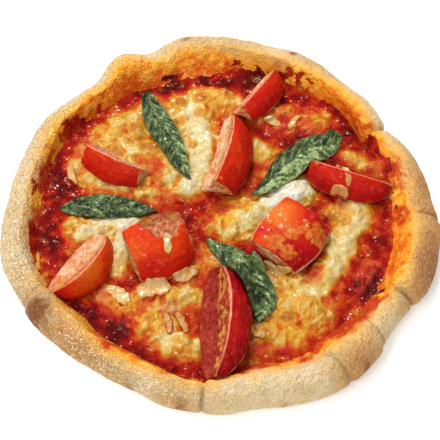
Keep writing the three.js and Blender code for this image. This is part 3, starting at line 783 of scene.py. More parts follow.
def melt_reach(x, y, ovals):
    """How far inside a sheet a point is, in mm, and the sheet's thickness there. Inside one oval the reach
    is (1 - elliptical radius) * half width; the thickness is the ovals' mean, weighted by
    exp(reach / 3)."""
    bent_x = x + 2.4 * fractal(x, y, size=11, octaves=4, seed=41)
    bent_y = y + 2.4 * fractal(x, y, size=11, octaves=4, seed=51)
    reach, weights, thickness = np.full(np.shape(x), -60.0), 0.0, 0.0
    for middle_x, middle_y, long, wide, turn, thick in ovals:
        c, s = np.cos(np.radians(turn)), np.sin(np.radians(turn))
        along = ((bent_x - middle_x) * c + (bent_y - middle_y) * s) / (long / 2)
        aside = ((bent_y - middle_y) * c - (bent_x - middle_x) * s) / (wide / 2)
        inside = (1 - np.hypot(along, aside)) * wide / 2
        reach = soft_max(reach, inside, 3)
        weight = np.exp(inside / 3)
        weights = weights + weight
        thickness = thickness + weight * thick
    return reach, thickness / np.maximum(weights, 1e-12)


print("sheets of cheese:", len(MELTS))

# %% [markdown]
# ## One colour scale for sauce and cheese
#
# Where cheese thins out it takes the colour of the sauce below, and crumbs of cheese lie on the sauce. So
# both follow one scale, from nearly black red through orange and gold to ivory. A field over the whole
# pizza says where each point is on it. Its large patches were placed as soft spots and bands.

# %% Place the patches of colour
# Spots as x, y, radius and strength: creamy, yellow, blistered, tanned, and dark. The dark spots are
# partly dark sauce and partly painted shade, in the channel at the foot of the rim.
IVORY = [
    (-10.9, 51.1, 16, 1.0), (-12.4, 36.8, 14, 1.0), (-15.4, 64.4, 13, 0.9), (-12.7, 79.2, 10, 0.8),
    (-16, 16.4, 11, 0.8), (-50.9, 61, 11, 0.7), (-33.7, 20.8, 12, 0.6), (-54.1, -8.4, 15, 0.95),
    (-71.8, -12, 11, 1), (-43.6, -7.2, 12, 0.8), (25.5, 43.3, 12, 0.95), (41, 14.5, 17, 1.6),
    (12.1, -4.1, 12, 0.9), (75.1, 3.3, 12, 0.9), (62.9, -11.4, 10, 0.6), (27, -29.5, 12, 0.7),
    (-33.3, -47.2, 12, 0.8), (-27.2, -76.3, 12, 0.7), (86, -8, 12, 0.35), (-15.1, -80.3, 12, 0.7),
    (-12.8, -44.3, 8, 0.5), (-64.9, 40.1, 10, 0.4), (-79.4, 27.2, 9, 0.5), (27, 8, 14, 1.1),
    (-66, -8, 13, 0.8), (40, -58, 12, 0.4), (-40, 62, 10, 0.5), (-32, 55, 20, 0.7), (-48, 46, 18, 0.6),
    (-34, 33, 14, 0.6),
]
# Where the cheese flowed and stayed white: strength, half width, and the points of each line.
FLOWS = [
    (1.1, 8.5, (-15, 71), (-13, 58), (-10, 47), (-10, 38), (-13, 27), (-16, 18)),
    (0.7, 5, (-25, 77), (-11, 82), (-3, 78)), (0.8, 5, (-57, 59), (-49, 65), (-43, 67)),
    (0.7, 4, (-50, 43), (-43, 40), (-36, 41)), (0.7, 4.5, (-43, 15), (-34, 17), (-26, 27)),
    (0.6, 3, (-71, 23), (-62, 20.5), (-50, 16)), (0.5, 2.5, (-75, 48), (-79, 41), (-82, 29)),
    (1.6, 8, (27, 8), (37, 12.5), (44, 16)), (0.75, 6, (10, -1), (16, -5), (22, 4)),
    (0.9, 7, (73, 10), (77, 4), (75, -4), (68, -11), (65, -20), (63, -27), (58, -35), (52, -43), (43, -50)),
    (1.4, 6.5, (-64, -1), (-50, -6), (-42, -3), (-49, -13), (-52, -22), (-54, -32)),
    (1.1, 4.5, (-73, -12), (-67, -10)), (0.9, 5, (-36, -45), (-30, -44), (-20, -47)),
    (0.65, 5, (-29, -68), (-24, -73), (-18, -77), (-11, -76)),
]
BUTTER = [
    (-54, -31, 9, 1.2), (-46, -57, 13, 1.2), (-32, -62, 10, 1.0), (6, -3, 10, 1.2), (27, -68, 12, 1.2),
    (-61.5, 51.1, 12, 0.8), (-55.6, -27.1, 15, 1.0), (1.1, 76.4, 12, 0.9), (5.5, 81.2, 8, 0.8),
    (64, -3, 9, 1.3), (35.4, -67.3, 18, 1.0), (23.7, -70.7, 10, 0.9), (3.7, 0.2, 12, 1.0),
    (-44.2, -60.5, 16, 0.7), (-23, -51.8, 11, 0.7), (13.2, 5.2, 10, 0.6), (-38.1, 53.1, 12, 0.5),
    (40, -52, 18, 0.8), (-30, 66, 16, 0.5), (-60, -6, 18, 0.5), (-44, 38, 14, 0.5),
]
BLISTERS = [
    (-22, 72.4, 5.7, 1.1), (-10.5, 75.1, 6.3, 1), (-46.4, 55.1, 5.4, 1), (-36.3, 42, 6.3, 1.1),
    (-41.2, 42.6, 5.1, 0.92), (-56.5, 63, 4.5, 0.69), (-14.6, 42.6, 3.9, 0.69), (-11, 65, 5.1, 0.52),
    (-26.8, 57.1, 4.5, 0.57), (-31.3, 65, 3.9, 0.57), (-56.3, 42, 4.5, 0.69), (-62.2, 40.1, 3.9, 0.57),
    (59.6, -0.4, 6.8, 0.8), (65.8, -3.5, 4.5, 0.57), (34, -61.6, 6, 0.92), (23.3, -69.6, 6, 0.69),
    (42.4, -51.8, 4.5, 0.46), (-24.4, -62.2, 4.5, 0.57), (-36.6, -62.2, 4.8, 0.69),
    (-28.9, -66.2, 4.5, 0.57), (-68.8, 30.4, 4.5, 0.57), (-74.8, 20.8, 4.5, 0.57), (-3.3, 70.4, 4.5, 0.46),
    (2.8, 78.5, 6, 0.69), (13.1, -69, 4.5, 0.57), (41.5, -29.5, 4.5, 0.57), (47, -51.8, 4.5, 0.4),
    (32.5, -39, 3.9, 0.34), (-66, 56, 4.5, 0.6), (-50, 47, 4, 0.7), (-20, 60, 4, 0.5), (-44, 66, 4, 0.6),
    (-30, 48, 4, 0.5), (-58, 30, 4, 0.5), (-40, 22, 4, 0.5), (-24, 34, 3.5, 0.4), (48, 2, 4.5, 0.5),
    (30, -52, 5, 0.5), (44, -62, 4.5, 0.6), (-52, -50, 4.5, 0.6),
]
TAN = [
    (-21, -37, 9, 1), (-25, -57, 9, 0.9), (-62, -46, 8, 0.8), (47, -38, 9, 0.5), (65, 7, 8, 0.6),
    (73, -28, 9, 0.5), (-75, 45, 9, 0.6), (-58, 22, 9, 0.5), (-80, 28, 8, 0.6), (30, 62, 10, 0.4),
    (-42, 24, 8, 0.4),
]
DARK_AND_SHADED = [
    (-84, 20, 20, 0.7), (-88, -14, 14, 0.8), (-70, -60, 22, 0.8), (-45, -80, 20, 0.8), (60, 60, 22, 0.6),
    (20, 92, 16, 0.8), (-30, 84, 20, 1.2), (-5, 90, 16, 1.0), (78, -42, 14, 2.4), (-8, 8, 16, 0.3),
    (-38, 26, 14, 1.6), (-47, -62, 16, 2.0), (50, -37, 9, 1.3), (38, 64, 22, 1.9), (-30, -48, 16, 1.0),
    (36, -60, 18, 0.5), (50, -20, 8, 0.8), (-38, -50, 14, 0.6), (50, -35, 8, 1.3), (-70, 30, 14, 0.5),
    (-52, 52, 14, 0.4), (86, 10, 12, 0.2), (-2, -88, 12, 0.8), (-28, -90, 14, 0.7), (72, 50, 16, 0.6),
    (12, 84, 12, 0.8),
]

placed = sum(len(table) for table in (IVORY, BUTTER, BLISTERS, TAN, DARK_AND_SHADED))
print("spots:", placed, "and bands:", len(FLOWS))

# %% [markdown]
# ## A point's place on the scale
#
# Cheese stays white and browns in patches of every size, and no patch has a clean outline. So the field
# adds up a slow rise across each sheet's edge, the placed patches, and noise of several sizes. Well inside
# a sheet it keeps above gold, so the red of the sauce breaks through only at the dark spots, which also
# paint shade into the channel at the foot of the rim.

# %% Work out a point's place on the scale
def bands(x, y, table):
    """Bands along bent lines: full strength from the line to half the half width, then a soft fall to 0.
    The distance is that to the nearest point of each straight piece of the line."""
    result = np.zeros(np.shape(x))
    for strength, half, *line in table:
        for (from_x, from_y), (to_x, to_y) in itertools.pairwise(line):
            dx, dy = to_x - from_x, to_y - from_y
            share = np.clip(((x - from_x) * dx + (y - from_y) * dy) / (dx**2 + dy**2), 0, 1)
            far = np.hypot(x - from_x - share * dx, y - from_y - share * dy) / half
            result = np.maximum(result, strength * smoothstep(1, 0.5, far))
    return result


def baked(x, y, reach):
    """The place of a point on the colour scale, from its reach into the nearest sheet: a slow rise across
    the sheet's edge, white and yellow patches, and noise 12 and 6 mm wide, calmer where it is white. Crumbs
    of cheese lie on the bare sauce. A floor rises to gold 5.5 mm inside a sheet, the middle of the pizza is
    a little lighter, and the dark spots, partly dark sauce and partly painted shade, are taken off last."""
    edge = mix(-0.6, 0.32, smoothstep(-4.5, 5, reach + 1.5 * fractal(x, y, size=6, octaves=2, seed=83)))
    bent_x, bent_y = x + 1.2 * fractal(x, y, size=6, seed=93), y + 1.2 * fractal(x, y, size=6, seed=97)
    flows = bands(bent_x, bent_y, FLOWS) * smoothstep(-3, 1, reach)
    white = np.maximum(0.6 * spots(x, y, IVORY), flows)
    cloud = fractal(x, y, size=12, octaves=2, seed=85)
    clot = np.tanh(2.2 * noise(x, y, size=6, seed=87))
    calm = 1 - 0.9 * np.clip(white, 0, 1)
    crumbs = 0.6 * smoothstep(0.25, 0.75, noise(x, y, size=3.4, seed=89) + 0.3 * cloud)
    crumbs = crumbs * smoothstep(3, -4, reach)
    patches = 0.5 * white + 0.05 * spots(x, y, BUTTER)
    value = edge + patches + (0.34 * cloud + 0.22 * clot) * calm + crumbs * 0.8
    floor = mix(-1.2, 0.26, smoothstep(1, 5.5, reach)) + 0.15 * cloud
    middle = 0.1 * smoothstep(40, 0, np.hypot(x, y))
    # Painted shade, partly dark sauce: the dark spots darken the channel at the foot of the rim.
    dark = 0.6 * spots(x, y, DARK_AND_SHADED) * mix(0.55, 1.0, smoothstep(7, 0, reach))
    return soft_max(value, floor, 0.3) + middle - dark


creamy_x, creamy_y = np.array([IVORY[0][:2]]).T
print("the first creamy patch's place on the scale:", baked(creamy_x, creamy_y, 12.0).round(2))

# %% [markdown]
# ## The baked finish
#
# One function gives the sauce and the cheese their colours. It looks a point's place up on the scale, lays
# yellow, tan and blisters over it, and adds the unevenness that is finer than the grid. Oil stands on the
# surface in beads, so the gloss comes as small glints and not as an even sheen.

# %% Define the baked finish
YELLOW_CHEESE = (0.62, 0.31, 0.012)
TANNED_CHEESE = (0.53, 0.25, 0.115)
BLISTER_GOLD, BLISTER_BROWN = (0.56, 0.26, 0.018), (0.38, 0.10, 0.008)


def add_baked_colours(finish, grit):
    """Colours, roughness and relief of the baked surface from its stored numbers. A clear coat covers
    scattered specks, and the cheese partly. Yellow cheese is mixed in, and blisters are gold with a brown
    top. Grit is how uneven the surface is below a millimetre."""
    clot = finish.noise(4.0, detail=1, seed=2)
    fine = finish.noise(1.2, detail=3, seed=3)
    level = finish.measure("baked")
    patch = clot.step(-0.25, 0.25) - 0.5
    value = level + (patch * 0.08 + clot * 0.1 + fine * 0.01) * (1 - level.step(0.1, 0.8) * 0.75)
    colour = finish.ramp(
        value,
        (-1.1, (0.10, 0.003, 0.003)), (-0.75, (0.25, 0.005, 0.004)), (-0.45, (0.39, 0.012, 0.004)),
        (-0.2, (0.47, 0.040, 0.005)), (0.05, (0.49, 0.085, 0.005)), (0.27, (0.52, 0.165, 0.008)),
        (0.48, (0.54, 0.30, 0.034)), (0.72, (0.565, 0.44, 0.175)), (1.15, (0.64, 0.61, 0.49)),
    )
    butter = (finish.measure("butter") + clot * 0.3).step(0.2, 1.0)
    colour = finish.mix(colour, YELLOW_CHEESE, butter * value.step(0.0, 0.5) * 0.75)
    colour = finish.mix(colour, TANNED_CHEESE, finish.measure("tan") * value.step(-0.3, 0.3) * 0.75)
    blister = finish.measure("blister")
    colour = finish.mix(colour, BLISTER_GOLD, (blister + clot * 0.1).step(0.0, 0.25))
    colour = finish.mix(colour, BLISTER_BROWN, (blister + fine * 0.08).step(0.3, 0.8) * 0.8)
    colour = finish.shade(colour, 1 + fine * (0.12 + 0.2 * grit))
    glint = (fine * 0.8 + clot * 0.3).step(0.18, 0.46)
    gloss = glint * 0.8 + level.step(0.1, 0.7) * 0.4
    finish.feed(Base_Color=colour, Roughness=0.42 - glint * 0.15, Coat_Weight=gloss)
    finish.bump(fine * 0.9 * grit * (1 - level.step(0.3, 0.9) * 0.7) + clot * 0.4, 0.8)


red_sauce = Finish("tomato_sauce", Coat_Roughness=0.06, Specular_IOR_Level=0.06)
add_baked_colours(red_sauce, grit=1.0)
print("nodes in the sauce's finish:", len(red_sauce.tree.nodes))

# %% [markdown]
# ## The sauce
#
# Crushed tomato, boiled down in the oven: a lumpy film that fills the well and thins out up the slope. It
# is one more polar grid. On the floor it stands at its own level; on the slope it follows the bread, and
# its edge dips just under the bread's surface, so that no cut edge shows.

# %% Build the sauce
SAUCE_RISE = 3.5  # how far beyond the foot of the slope the film reaches
SPARE = 4.0  # how much further the grid reaches, because the film's edge is ragged
SAUCE_SUNK = 1.6  # how far the sauce's underside lies below the bread's surface
SAUCE_ROWS, SAUCE_COLUMNS = 150, 620


def sauce_height(x, y, bread=None):
    """Height of the sauce: the softened maximum of the level lumpy pool and of a film on the bread, which
    thins from 1 mm to half a millimetre below the bread over the last 6 mm to a ragged edge."""
    bearing, r = polar(x, y)
    bread = bread_height(x, y) if bread is None else bread
    edge = around_rim(FOOT, bearing) + SAUCE_RISE + 3.0 * fractal(x, y, size=12, octaves=3, seed=61)
    film = 1.5 * smoothstep(edge, edge - 6, r) - 0.5
    lumps = 0.7 * fractal(x, y, size=8, octaves=2, seed=71)
    lumps = lumps + 0.5 * fractal(x, y, size=3.2, octaves=2, seed=75)
    pool = BASE + GAP + SAUCE + lumps
    return soft_max(pool, bread + film + 0.5 * lumps * (film > 0), 1.0)


def ground_height(x, y):
    """What the toppings lie on: the sauce, or the bare bread beyond it."""
    bread = bread_height(x, y)
    return np.maximum(sauce_height(x, y, bread), bread)


angle = np.radians(np.linspace(0, 360, SAUCE_COLUMNS, endpoint=False))[None, :]
share = np.linspace(1, 0.012, SAUCE_ROWS)[:, None] ** 0.8  # rows stand closer at the edge
reach_out = around_rim(FOOT, np.degrees(angle)) + SAUCE_RISE + SPARE
sx, sy = share * reach_out * np.cos(angle), share * reach_out * np.sin(angle)
sauce_top = np.stack((sx, sy, sauce_height(sx, sy)), -1)
under_share = np.array([0.1, 0.5, 0.8, 0.84, 0.88, 0.91, 0.94, 0.97, 1])[:, None]
under_x, under_y = under_share * sx[:1], under_share * sy[:1]
sauce_under = np.stack((under_x, under_y, bread_height(under_x, under_y) - SAUCE_SUNK), -1)
sauce_grid = np.vstack((sauce_under, sauce_top))

gx, gy = sauce_grid[..., 0], sauce_grid[..., 1]
cheese_reach = np.max([melt_reach(gx, gy, ovals)[0] for ovals in MELTS.values()], axis=0)
near_bread = smoothstep(0.9, 0.99, np.hypot(gx, gy) / np.tile(reach_out, (len(gx), 1)))
sauce = round_shell(
    sauce_grid,
    baked=baked(gx, gy, cheese_reach) + 0.3 * near_bread,
    butter=0.5 * spots(gx, gy, BUTTER),
    blister=0 * gx,
    tan=spots(gx, gy, TAN),
)
add_piece("sauce_film", sauce, red_sauce.material, "sauce", "tomato_sauce")

# %% [markdown]
# ## A map of the heights
#
# Leaves and loose shreds lie on whatever is below them. A level map of the pizza, in square cells, keeps
# the greatest height reached in each cell; every finished piece is added to it, and the next one reads it.

# %% Keep a map of the heights
MAP_HALF, MAP_CELL = 122.0, 0.8
MAP_COUNT = int(2 * MAP_HALF / MAP_CELL) + 1
height_map = np.zeros((MAP_COUNT, MAP_COUNT))


def evened(values, passes):
    """A grid's values with each moved half way to the mean of its four neighbours, many times."""
    for _ in range(passes):
        padded = np.pad(values, 1, mode="edge")
        beside = padded[:-2, 1:-1] + padded[2:, 1:-1] + padded[1:-1, :-2] + padded[1:-1, 2:]
        values = (beside + 4 * values) / 8
    return values


def note_heights(points):
    """Raises the map's cells to the highest of the points over them. A cell with a higher neighbour both
    along its row and along its column is raised too, which fills single holes."""
    column = np.rint((points[..., 0].ravel() + MAP_HALF) / MAP_CELL).astype(int)
    row = np.rint((points[..., 1].ravel() + MAP_HALF) / MAP_CELL).astype(int)
    np.maximum.at(height_map, (row, column), points[..., 2].ravel())
    padded = np.pad(height_map, 1)
    in_column = np.maximum(padded[:-2, 1:-1], padded[2:, 1:-1])
    in_row = np.maximum(padded[1:-1, :-2], padded[1:-1, 2:])
    np.maximum(height_map, np.minimum(in_column, in_row), out=height_map)


def mapped_height(x, y):
    """The map's height at any point, blended between the four cells round it."""
    u, v = (x + MAP_HALF) / MAP_CELL, (y + MAP_HALF) / MAP_CELL
    i, j = np.floor(v).astype(int), np.floor(u).astype(int)
    s, t = u - j, v - i
    low = mix(height_map[i, j], height_map[i, j + 1], s)
    high = mix(height_map[i + 1, j], height_map[i + 1, j + 1], s)
    return mix(low, high, t)


note_heights(crust_grid)
note_heights(sauce_top)
print("highest point so far", round(height_map.max(), 1), "mm")

# %% [markdown]
# ## The cheese
#
# A sheet of melted cheese is thin at its edge, uneven inside where single shreds sank into it, and
# blistered where it boiled. Each of these is a height added to a level grid: a quarter circle at the edge,
# round-backed ridges for the shreds, domes for the blisters. The grid's outline lies below the sauce, so
# the edge that shows is where the two surfaces meet, as on the real pizza.

# %% Define the cheese sheet
CELL = 0.5  # grid spacing
AREA_PER_SHRED = 42  # an oval's long times wide diameter for each sunken shred in it
BLISTER_HEIGHT = 1.3
SKIRT = 1.6  # how far a sheet carries on outside its outline, down in the sauce


def ridges(x, y, ovals, seed):
    """Sunken shreds: random short lines inside the ovals, each with a round back
    (1 - (distance / width)²)²; where two cross, the higher one counts."""
    draw = np.random.default_rng(seed)
    result = np.zeros(np.shape(x))
    for middle_x, middle_y, long, wide, turn, _ in ovals:
        for _ in range(int(long * wide / AREA_PER_SHRED)):
            away, swing = 0.5 * np.sqrt(draw.uniform()), draw.uniform(0, 2 * np.pi)
            c, s = np.cos(np.radians(turn)), np.sin(np.radians(turn))
            du, dv = away * long * np.cos(swing), away * wide * np.sin(swing)
            px, py = middle_x + du * c - dv * s, middle_y + du * s + dv * c
            lie, half = draw.uniform(0, np.pi), draw.uniform(2, 6)
            width, height = draw.uniform(1.5, 2.5), draw.uniform(0.5, 1.0)
            u = (x - px) * np.cos(lie) + (y - py) * np.sin(lie)
            v = (y - py) * np.cos(lie) - (x - px) * np.sin(lie) + draw.uniform(-0.08, 0.08) * u**2
            far = np.hypot(np.maximum(np.abs(u) - half, 0), v) / width
            result = np.maximum(result, height * np.clip(1 - far**2, 0, 1) ** 2)
    return result


def cheese_sheet(name):
    """The closed sheet of one patch on a level grid over its ovals. It starts thin at its edge and thickens
    over 10 mm. Where it stayed white it flowed, so it is smoother and stands higher there. Outside the
    outline it carries on down into the sauce."""
    ovals = MELTS[name]
    table = np.array(ovals)
    half = table[:, 2] / 2 + 5
    xs = np.arange((table[:, 0] - half).min(), (table[:, 0] + half).max(), CELL)
    ys = np.arange((table[:, 1] - half).min(), (table[:, 1] + half).max(), CELL)
    x, y = np.meshgrid(xs, ys)
    reach, thick = melt_reach(x, y, ovals)
    ragged = reach + 0.9 * fractal(x, y, size=4, octaves=2, seed=91)
    t = np.clip(ragged / 3, 0, 1)
    rounded = thick * (0.22 * np.sqrt(1 - (1 - t) ** 2) + 0.78 * smoothstep(0, 10, reach))
    white = np.clip(bands(x, y, FLOWS), 0, 1)
    bars = ridges(x, y, ovals, seed=len(name)) * smoothstep(-1, 2.5, reach)
    waves = (fractal(x, y, size=7, octaves=2, seed=101) + 0.4 * noise(x, y, size=3, seed=105)) * t
    bars = bars * (1 - 0.7 * white)
    relief = bars + waves * (1 - 0.6 * white) + 0.9 * white * t
    ground = ground_height(x, y)
    blister = spots(x, y, BLISTERS)
    top = ground - 0.25 + rounded + relief + BLISTER_HEIGHT * blister * t + 0.5 * np.minimum(ragged, 0)
    upper = np.stack((x, y, top), -1)
    lower = np.stack((x, y, np.minimum(ground, top) - 0.7), -1)
    inside = reach > -SKIRT
    note_heights(upper[inside])
    return sheet_shell(
        upper, lower, inside,
        # The waves term darkens the hollows between lumps: partly oil gathered there, partly painted shade.
        baked=baked(x, y, reach) + 0.3 * bars + 0.2 * waves * (1 - 0.7 * white) - 0.1,
        butter=spots(x, y, BUTTER),
        blister=blister,
        tan=spots(x, y, TAN),
    )


sunken = sum(int(oval[2] * oval[3] / AREA_PER_SHRED) for ovals in MELTS.values() for oval in ovals)
print("shreds sunk into the cheese:", sunken)

# %% [markdown]
# ## The cheese's finish
#
# Melted cheese has the baked colours too, but it is smoother than the sauce, and it lets a little light
# through, mostly red, which softens its shadows. All the sheets share this one finish.

# %% Add the cheese sheets
melted = Finish(
    "melted_cheese", Coat_Roughness=0.08, Specular_IOR_Level=0.15,
    Subsurface_Weight=0.1, Subsurface_Scale=0.002, Subsurface_Radius=(1.0, 0.6, 0.3),
)
add_baked_colours(melted, grit=0.35)
for name in MELTS:
    add_piece(name.replace("cheese", "melt"), cheese_sheet(name), melted.material, "cheese", name)

# %% [markdown]
# ## The tomato wedges
#
# A plum tomato cut lengthwise: an arc of taut skin, two cut faces and a core edge. The section is drawn as
# one closed line, rounded by averaging it along itself, and carried along the wedge's long axis while it
# shrinks towards the tomato's ends. Turned, tipped and sagged a little, it is then laid on the sauce.

# %% Describe the tomato wedges
# X and y are the middle of the tomato's long axis, turn, roll and pitch are degrees, angle is how much of
# the round the wedge takes, whole is the tomato's length, and the wedge is the part from start to end. Core
# is how far it reaches past the axis, below nothing where its core was cut away. Tone goes from deep red
# (0) to orange (1), and flesh from pale pink (0) to deep red (1).
Wedge = namedtuple("Wedge", "x y turn roll pitch angle radius whole start end core tone flesh")
WEDGES = {
    "tomato_upper_left": (-53, 38, -28, 30, 0, 54, 19, 50, -16, 17, 1, 0.5, 0.3),
    "tomato_centre": (-4, 34.5, 75, 38, 0, 58, 21, 60, -19, 28, 1, 0.45, 0.0),
    "tomato_top": (17, 78.5, 54, 42, 0, 54, 17, 42, -15, 17, 1, 0.35, 0.1),
    "tomato_right": (70, 27, -20, 36, 0, 58, 18, 52, -20, 23, 1, 0.3, 0.5),
    "tomato_middle": (33.5, -13.5, 54, 74, 0, 88, 25, 58, -16, 16, -11, 0.05, 0.3),
    "tomato_left": (-75, -29, 54, 24, 0, 56, 18, 43, -21, 20, 5, 0.62, 0.0),
    "tomato_lower_left": (-34.5, -16.5, 24, 58, 0, 98, 23.5, 50, -15, 16, -6, 0.55, 0.3),
    "tomato_bottom": (-4, -66, 89, 34, -9, 58, 20, 68, -33, 33, 7, 0.0, 1.0),
}

# Spots as x, y, radius and strength: orange skin, and sauce and cheese baked on.
ORANGE = [(31, -5, 20, 1.5), (21.7, -21.6, 10, 0.9), (-48, -32, 12, 0.6), (-68, -40, 16, 0.5)]
SMEARS = [
    (29, -23, 10, 1.3), (37, -17, 10, 1.1), (51, -18, 11, 1.5), (35, -29, 9, 1.1), (45, -14, 8, 1.0),
    (27, -10.7, 3, 0.8), (-24.6, -20.3, 7, 0.7), (-54.8, 41.9, 5, 0.4), (-45.5, 35.4, 5, 0.4),
    (0, 13.9, 5, 0.7), (-6.4, 15.2, 5, 0.8), (52.2, 25.9, 6, 0.5), (65.7, 5.2, 5, 0.8),
]
HOLLOWED = "tomato_lower_left"  # its flesh sank in at the spots below
HOLLOWS = [(-35, -10, 11, 1), (-29, -15, 11, 1), (-25, -10, 8, 1)]

wedge_table = {name: Wedge(*numbers) for name, numbers in WEDGES.items()}
longest = max(wedge.end - wedge.start for wedge in wedge_table.values())
print(len(wedge_table), "wedges, the longest", longest, "mm")

# %% [markdown]
# ## The sections of a wedge
#
# Each of a section's four parts has a fixed number of points, so a point with a given number lies on the
# same part of every wedge. Averaging the line with itself moved on by one point rounds its corners. At an
# end, rows of shrinking size close the wedge with a low cap.

# %% Build the sections
CORE_POINTS, FACE_POINTS, SKIN_POINTS = 6, 34, 56  # in a section's core, each face and skin
WEDGE_ROWS = 110
END_BULGE = 0.9  # how far a cap stands out
CAP_SHARES = (0.97, 0.9, 0.78, 0.6, 0.4, 0.2, 0.05)  # sizes of the rows that close an end


def turned(points, axis, degrees):
    """Points turned about the X, Y or Z axis (0, 1 or 2)."""
    c, s = np.cos(np.radians(degrees)), np.sin(np.radians(degrees))
    result = points.copy()
    first, second = (axis + 1) % 3, (axis + 2) % 3
    result[..., first] = points[..., first] * c - points[..., second] * s
    result[..., second] = points[..., first] * s + points[..., second] * c
    return result


def averaged(values, passes):
    """Closed lines whose points are moved, many times, half way to the mean of their two neighbours."""
    for _ in range(passes):
        values = (np.roll(values, 1, axis=1) + 2 * values + np.roll(values, -1, axis=1)) / 4
    return values


def wedge_grid(wedge):
    """Rows are sections along the wedge. Each section runs round the core's blunt edge, out along one cut
    face, round the skin and back. The radius follows an ellipse, sqrt(1 - (along / half length)²)."""
    spread = np.radians(wedge.angle) / 2
    u = np.linspace(0, np.pi, WEDGE_ROWS)
    along = mix(wedge.start, wedge.end, (1 - np.cos(u)) / 2 * 0.6 + u / np.pi * 0.4)[:, None]
    shrink = np.sqrt(1 - np.minimum(np.abs(along) / (wedge.whole / 2 + 0.3), 1) ** 2)
    skin_radius = wedge.radius * shrink + 0.8
    back = wedge.core * shrink + 0.5
    blunt = np.maximum(-back, 0) * np.sin(spread) + 0.4
    edge = np.linspace(-1, 1, CORE_POINTS, endpoint=False)[None, :]
    out = np.linspace(0, 1, FACE_POINTS, endpoint=False)[None, :]
    arc = spread * (1 - 2 * np.linspace(0, 1, SKIN_POINTS, endpoint=False))[None, :]
    corner_d, corner_w = skin_radius * np.cos(spread), skin_radius * np.sin(spread)
    hollow = 1.6 * np.sin(np.pi * out) ** 1.5 * shrink
    one_face = mix(blunt, corner_w, out) - hollow
    other_face = mix(-corner_w, -blunt, out) + hollow[:, ::-1]
    d = (-back + 0 * edge, mix(-back, corner_d, out), skin_radius * np.cos(arc), mix(corner_d, -back, out))
    w = (blunt * edge, one_face, skin_radius * np.sin(arc), other_face)
    d, w = averaged(np.hstack(d), 3), averaged(np.hstack(w), 3)
    grid = np.stack((along + 0 * d, -d, w), -1)
    shares = np.array(CAP_SHARES)[:, None, None]
    caps = []
    for row, side in ((grid[0], -1), (grid[-1], 1)):
        middle = row.mean(0)
        cap = middle + (row - middle) * shares
        cap[..., 0] += side * END_BULGE * np.sqrt(1 - shares[..., 0] ** 2)
        caps.append(cap)
    return np.vstack((caps[0][::-1], grid, caps[1]))


print("rows and points round a wedge:", wedge_grid(wedge_table[HOLLOWED]).shape[:2])

# %% [markdown]
# ## Skin and flesh
#
# The finish has to know which points are skin, which are flesh, and how far out from the core they lie. On
# a real wedge those are parts of the section, so the numbers are written once round a section and repeated
# in every row. Only where a wedge was cut short do its last rows show flesh all over.

# %% Number the points of a wedge
BORDER_WIDTH = 0.035  # of the pale line where the skin was cut, as a share of the skin's arc
CUT_ROWS = 6  # rows at each end that can show flesh all over


def around_section(rows, *parts):
    """A measure that is the same in all rows, from its values on the core, one face, the skin and the
    other face."""
    counts = (CORE_POINTS, FACE_POINTS, SKIN_POINTS, FACE_POINTS)
    line = np.concatenate([part + np.zeros(count) for part, count in zip(parts, counts)])
    return np.tile(line, (rows, 1))


def section_measures(grid, whole):
    """Face runs from 0 at the core to 1 at the skin's edge, skin is 1 on the skin, border is 1 along both
    edges of the skin, and tip reaches 1 at the tomato's ends. Where an end was cut through, its last rows
    are flesh."""
    rows = len(grid)
    out = np.linspace(0, 1, FACE_POINTS, endpoint=False)
    arc = np.linspace(0, 1, SKIN_POINTS)
    face = around_section(rows, 0, out, 1, 1 - out)
    skin = around_section(rows, 0, 0, 1, 0)
    border = around_section(rows, 0, 0, np.exp(-((np.minimum(arc, 1 - arc) / BORDER_WIDTH) ** 2)), 0)
    tip = np.abs(grid[..., 0]) / (whole / 2)
    for end in (slice(0, CUT_ROWS), slice(rows - CUT_ROWS, rows)):
        cut_through = smoothstep(0.85, 0.7, tip[end])
        skin[end] *= 1 - cut_through
        face[end] = mix(face[end], np.minimum(face[end], 0.7), cut_through)
    return face, skin, border, tip


skin_share = section_measures(wedge_grid(wedge_table[HOLLOWED]), wedge_table[HOLLOWED].whole)[1].mean()
print("share of a wedge's points that are skin:", round(float(skin_share), 2))

# %% [markdown]
# ## Sag, wrinkles and smears
#
# The oven drew the skin into wrinkles, let the flesh sink, and baked sauce and cheese onto what stood up.
# Wrinkles and pulp are added square to the surface of the upright wedge. It is then tipped, flattened and
# laid down, and the smears go on last, because they depend on what faces up.

# %% Define the baked wedge
REST = BASE + GAP + SAUCE + GAP
FLATTEN = 0.85  # a baked wedge sags to this share of its height
SETTLED = 0.6  # how far a wedge sinks into the sauce
SLUMP_ROLL = 50  # a wedge rolled further than this lies skin up and slumps


def tipped(points, wedge):
    """Points or directions rolled about the wedge's long axis, then pitched."""
    return turned(turned(points, 0, -wedge.roll), 1, -wedge.pitch)


def laid_down(grid, wedge):
    """The wedge tipped, sagged, turned and set on the sauce. One that lies skin up has slumped: its rise
    from 0 to 1 becomes 1 - (1 - rise)^1.7, which flattens the top."""
    grid = tipped(grid, wedge) * (1, 1, FLATTEN)
    slumped = np.clip((wedge.roll - SLUMP_ROLL) / 25, 0, 1)
    rise = (grid[..., 2] - grid[..., 2].min()) / np.ptp(grid[..., 2])
    grid[..., 2] *= mix(1, 0.85, slumped)
    grid[..., 2] += slumped * np.ptp(grid[..., 2]) * (1 - (1 - rise) ** 1.7 - rise)
    grid = turned(grid, 2, wedge.turn) + (wedge.x, wedge.y, 0)
    grid[..., 2] += REST - grid[..., 2].min() - SETTLED
    return grid


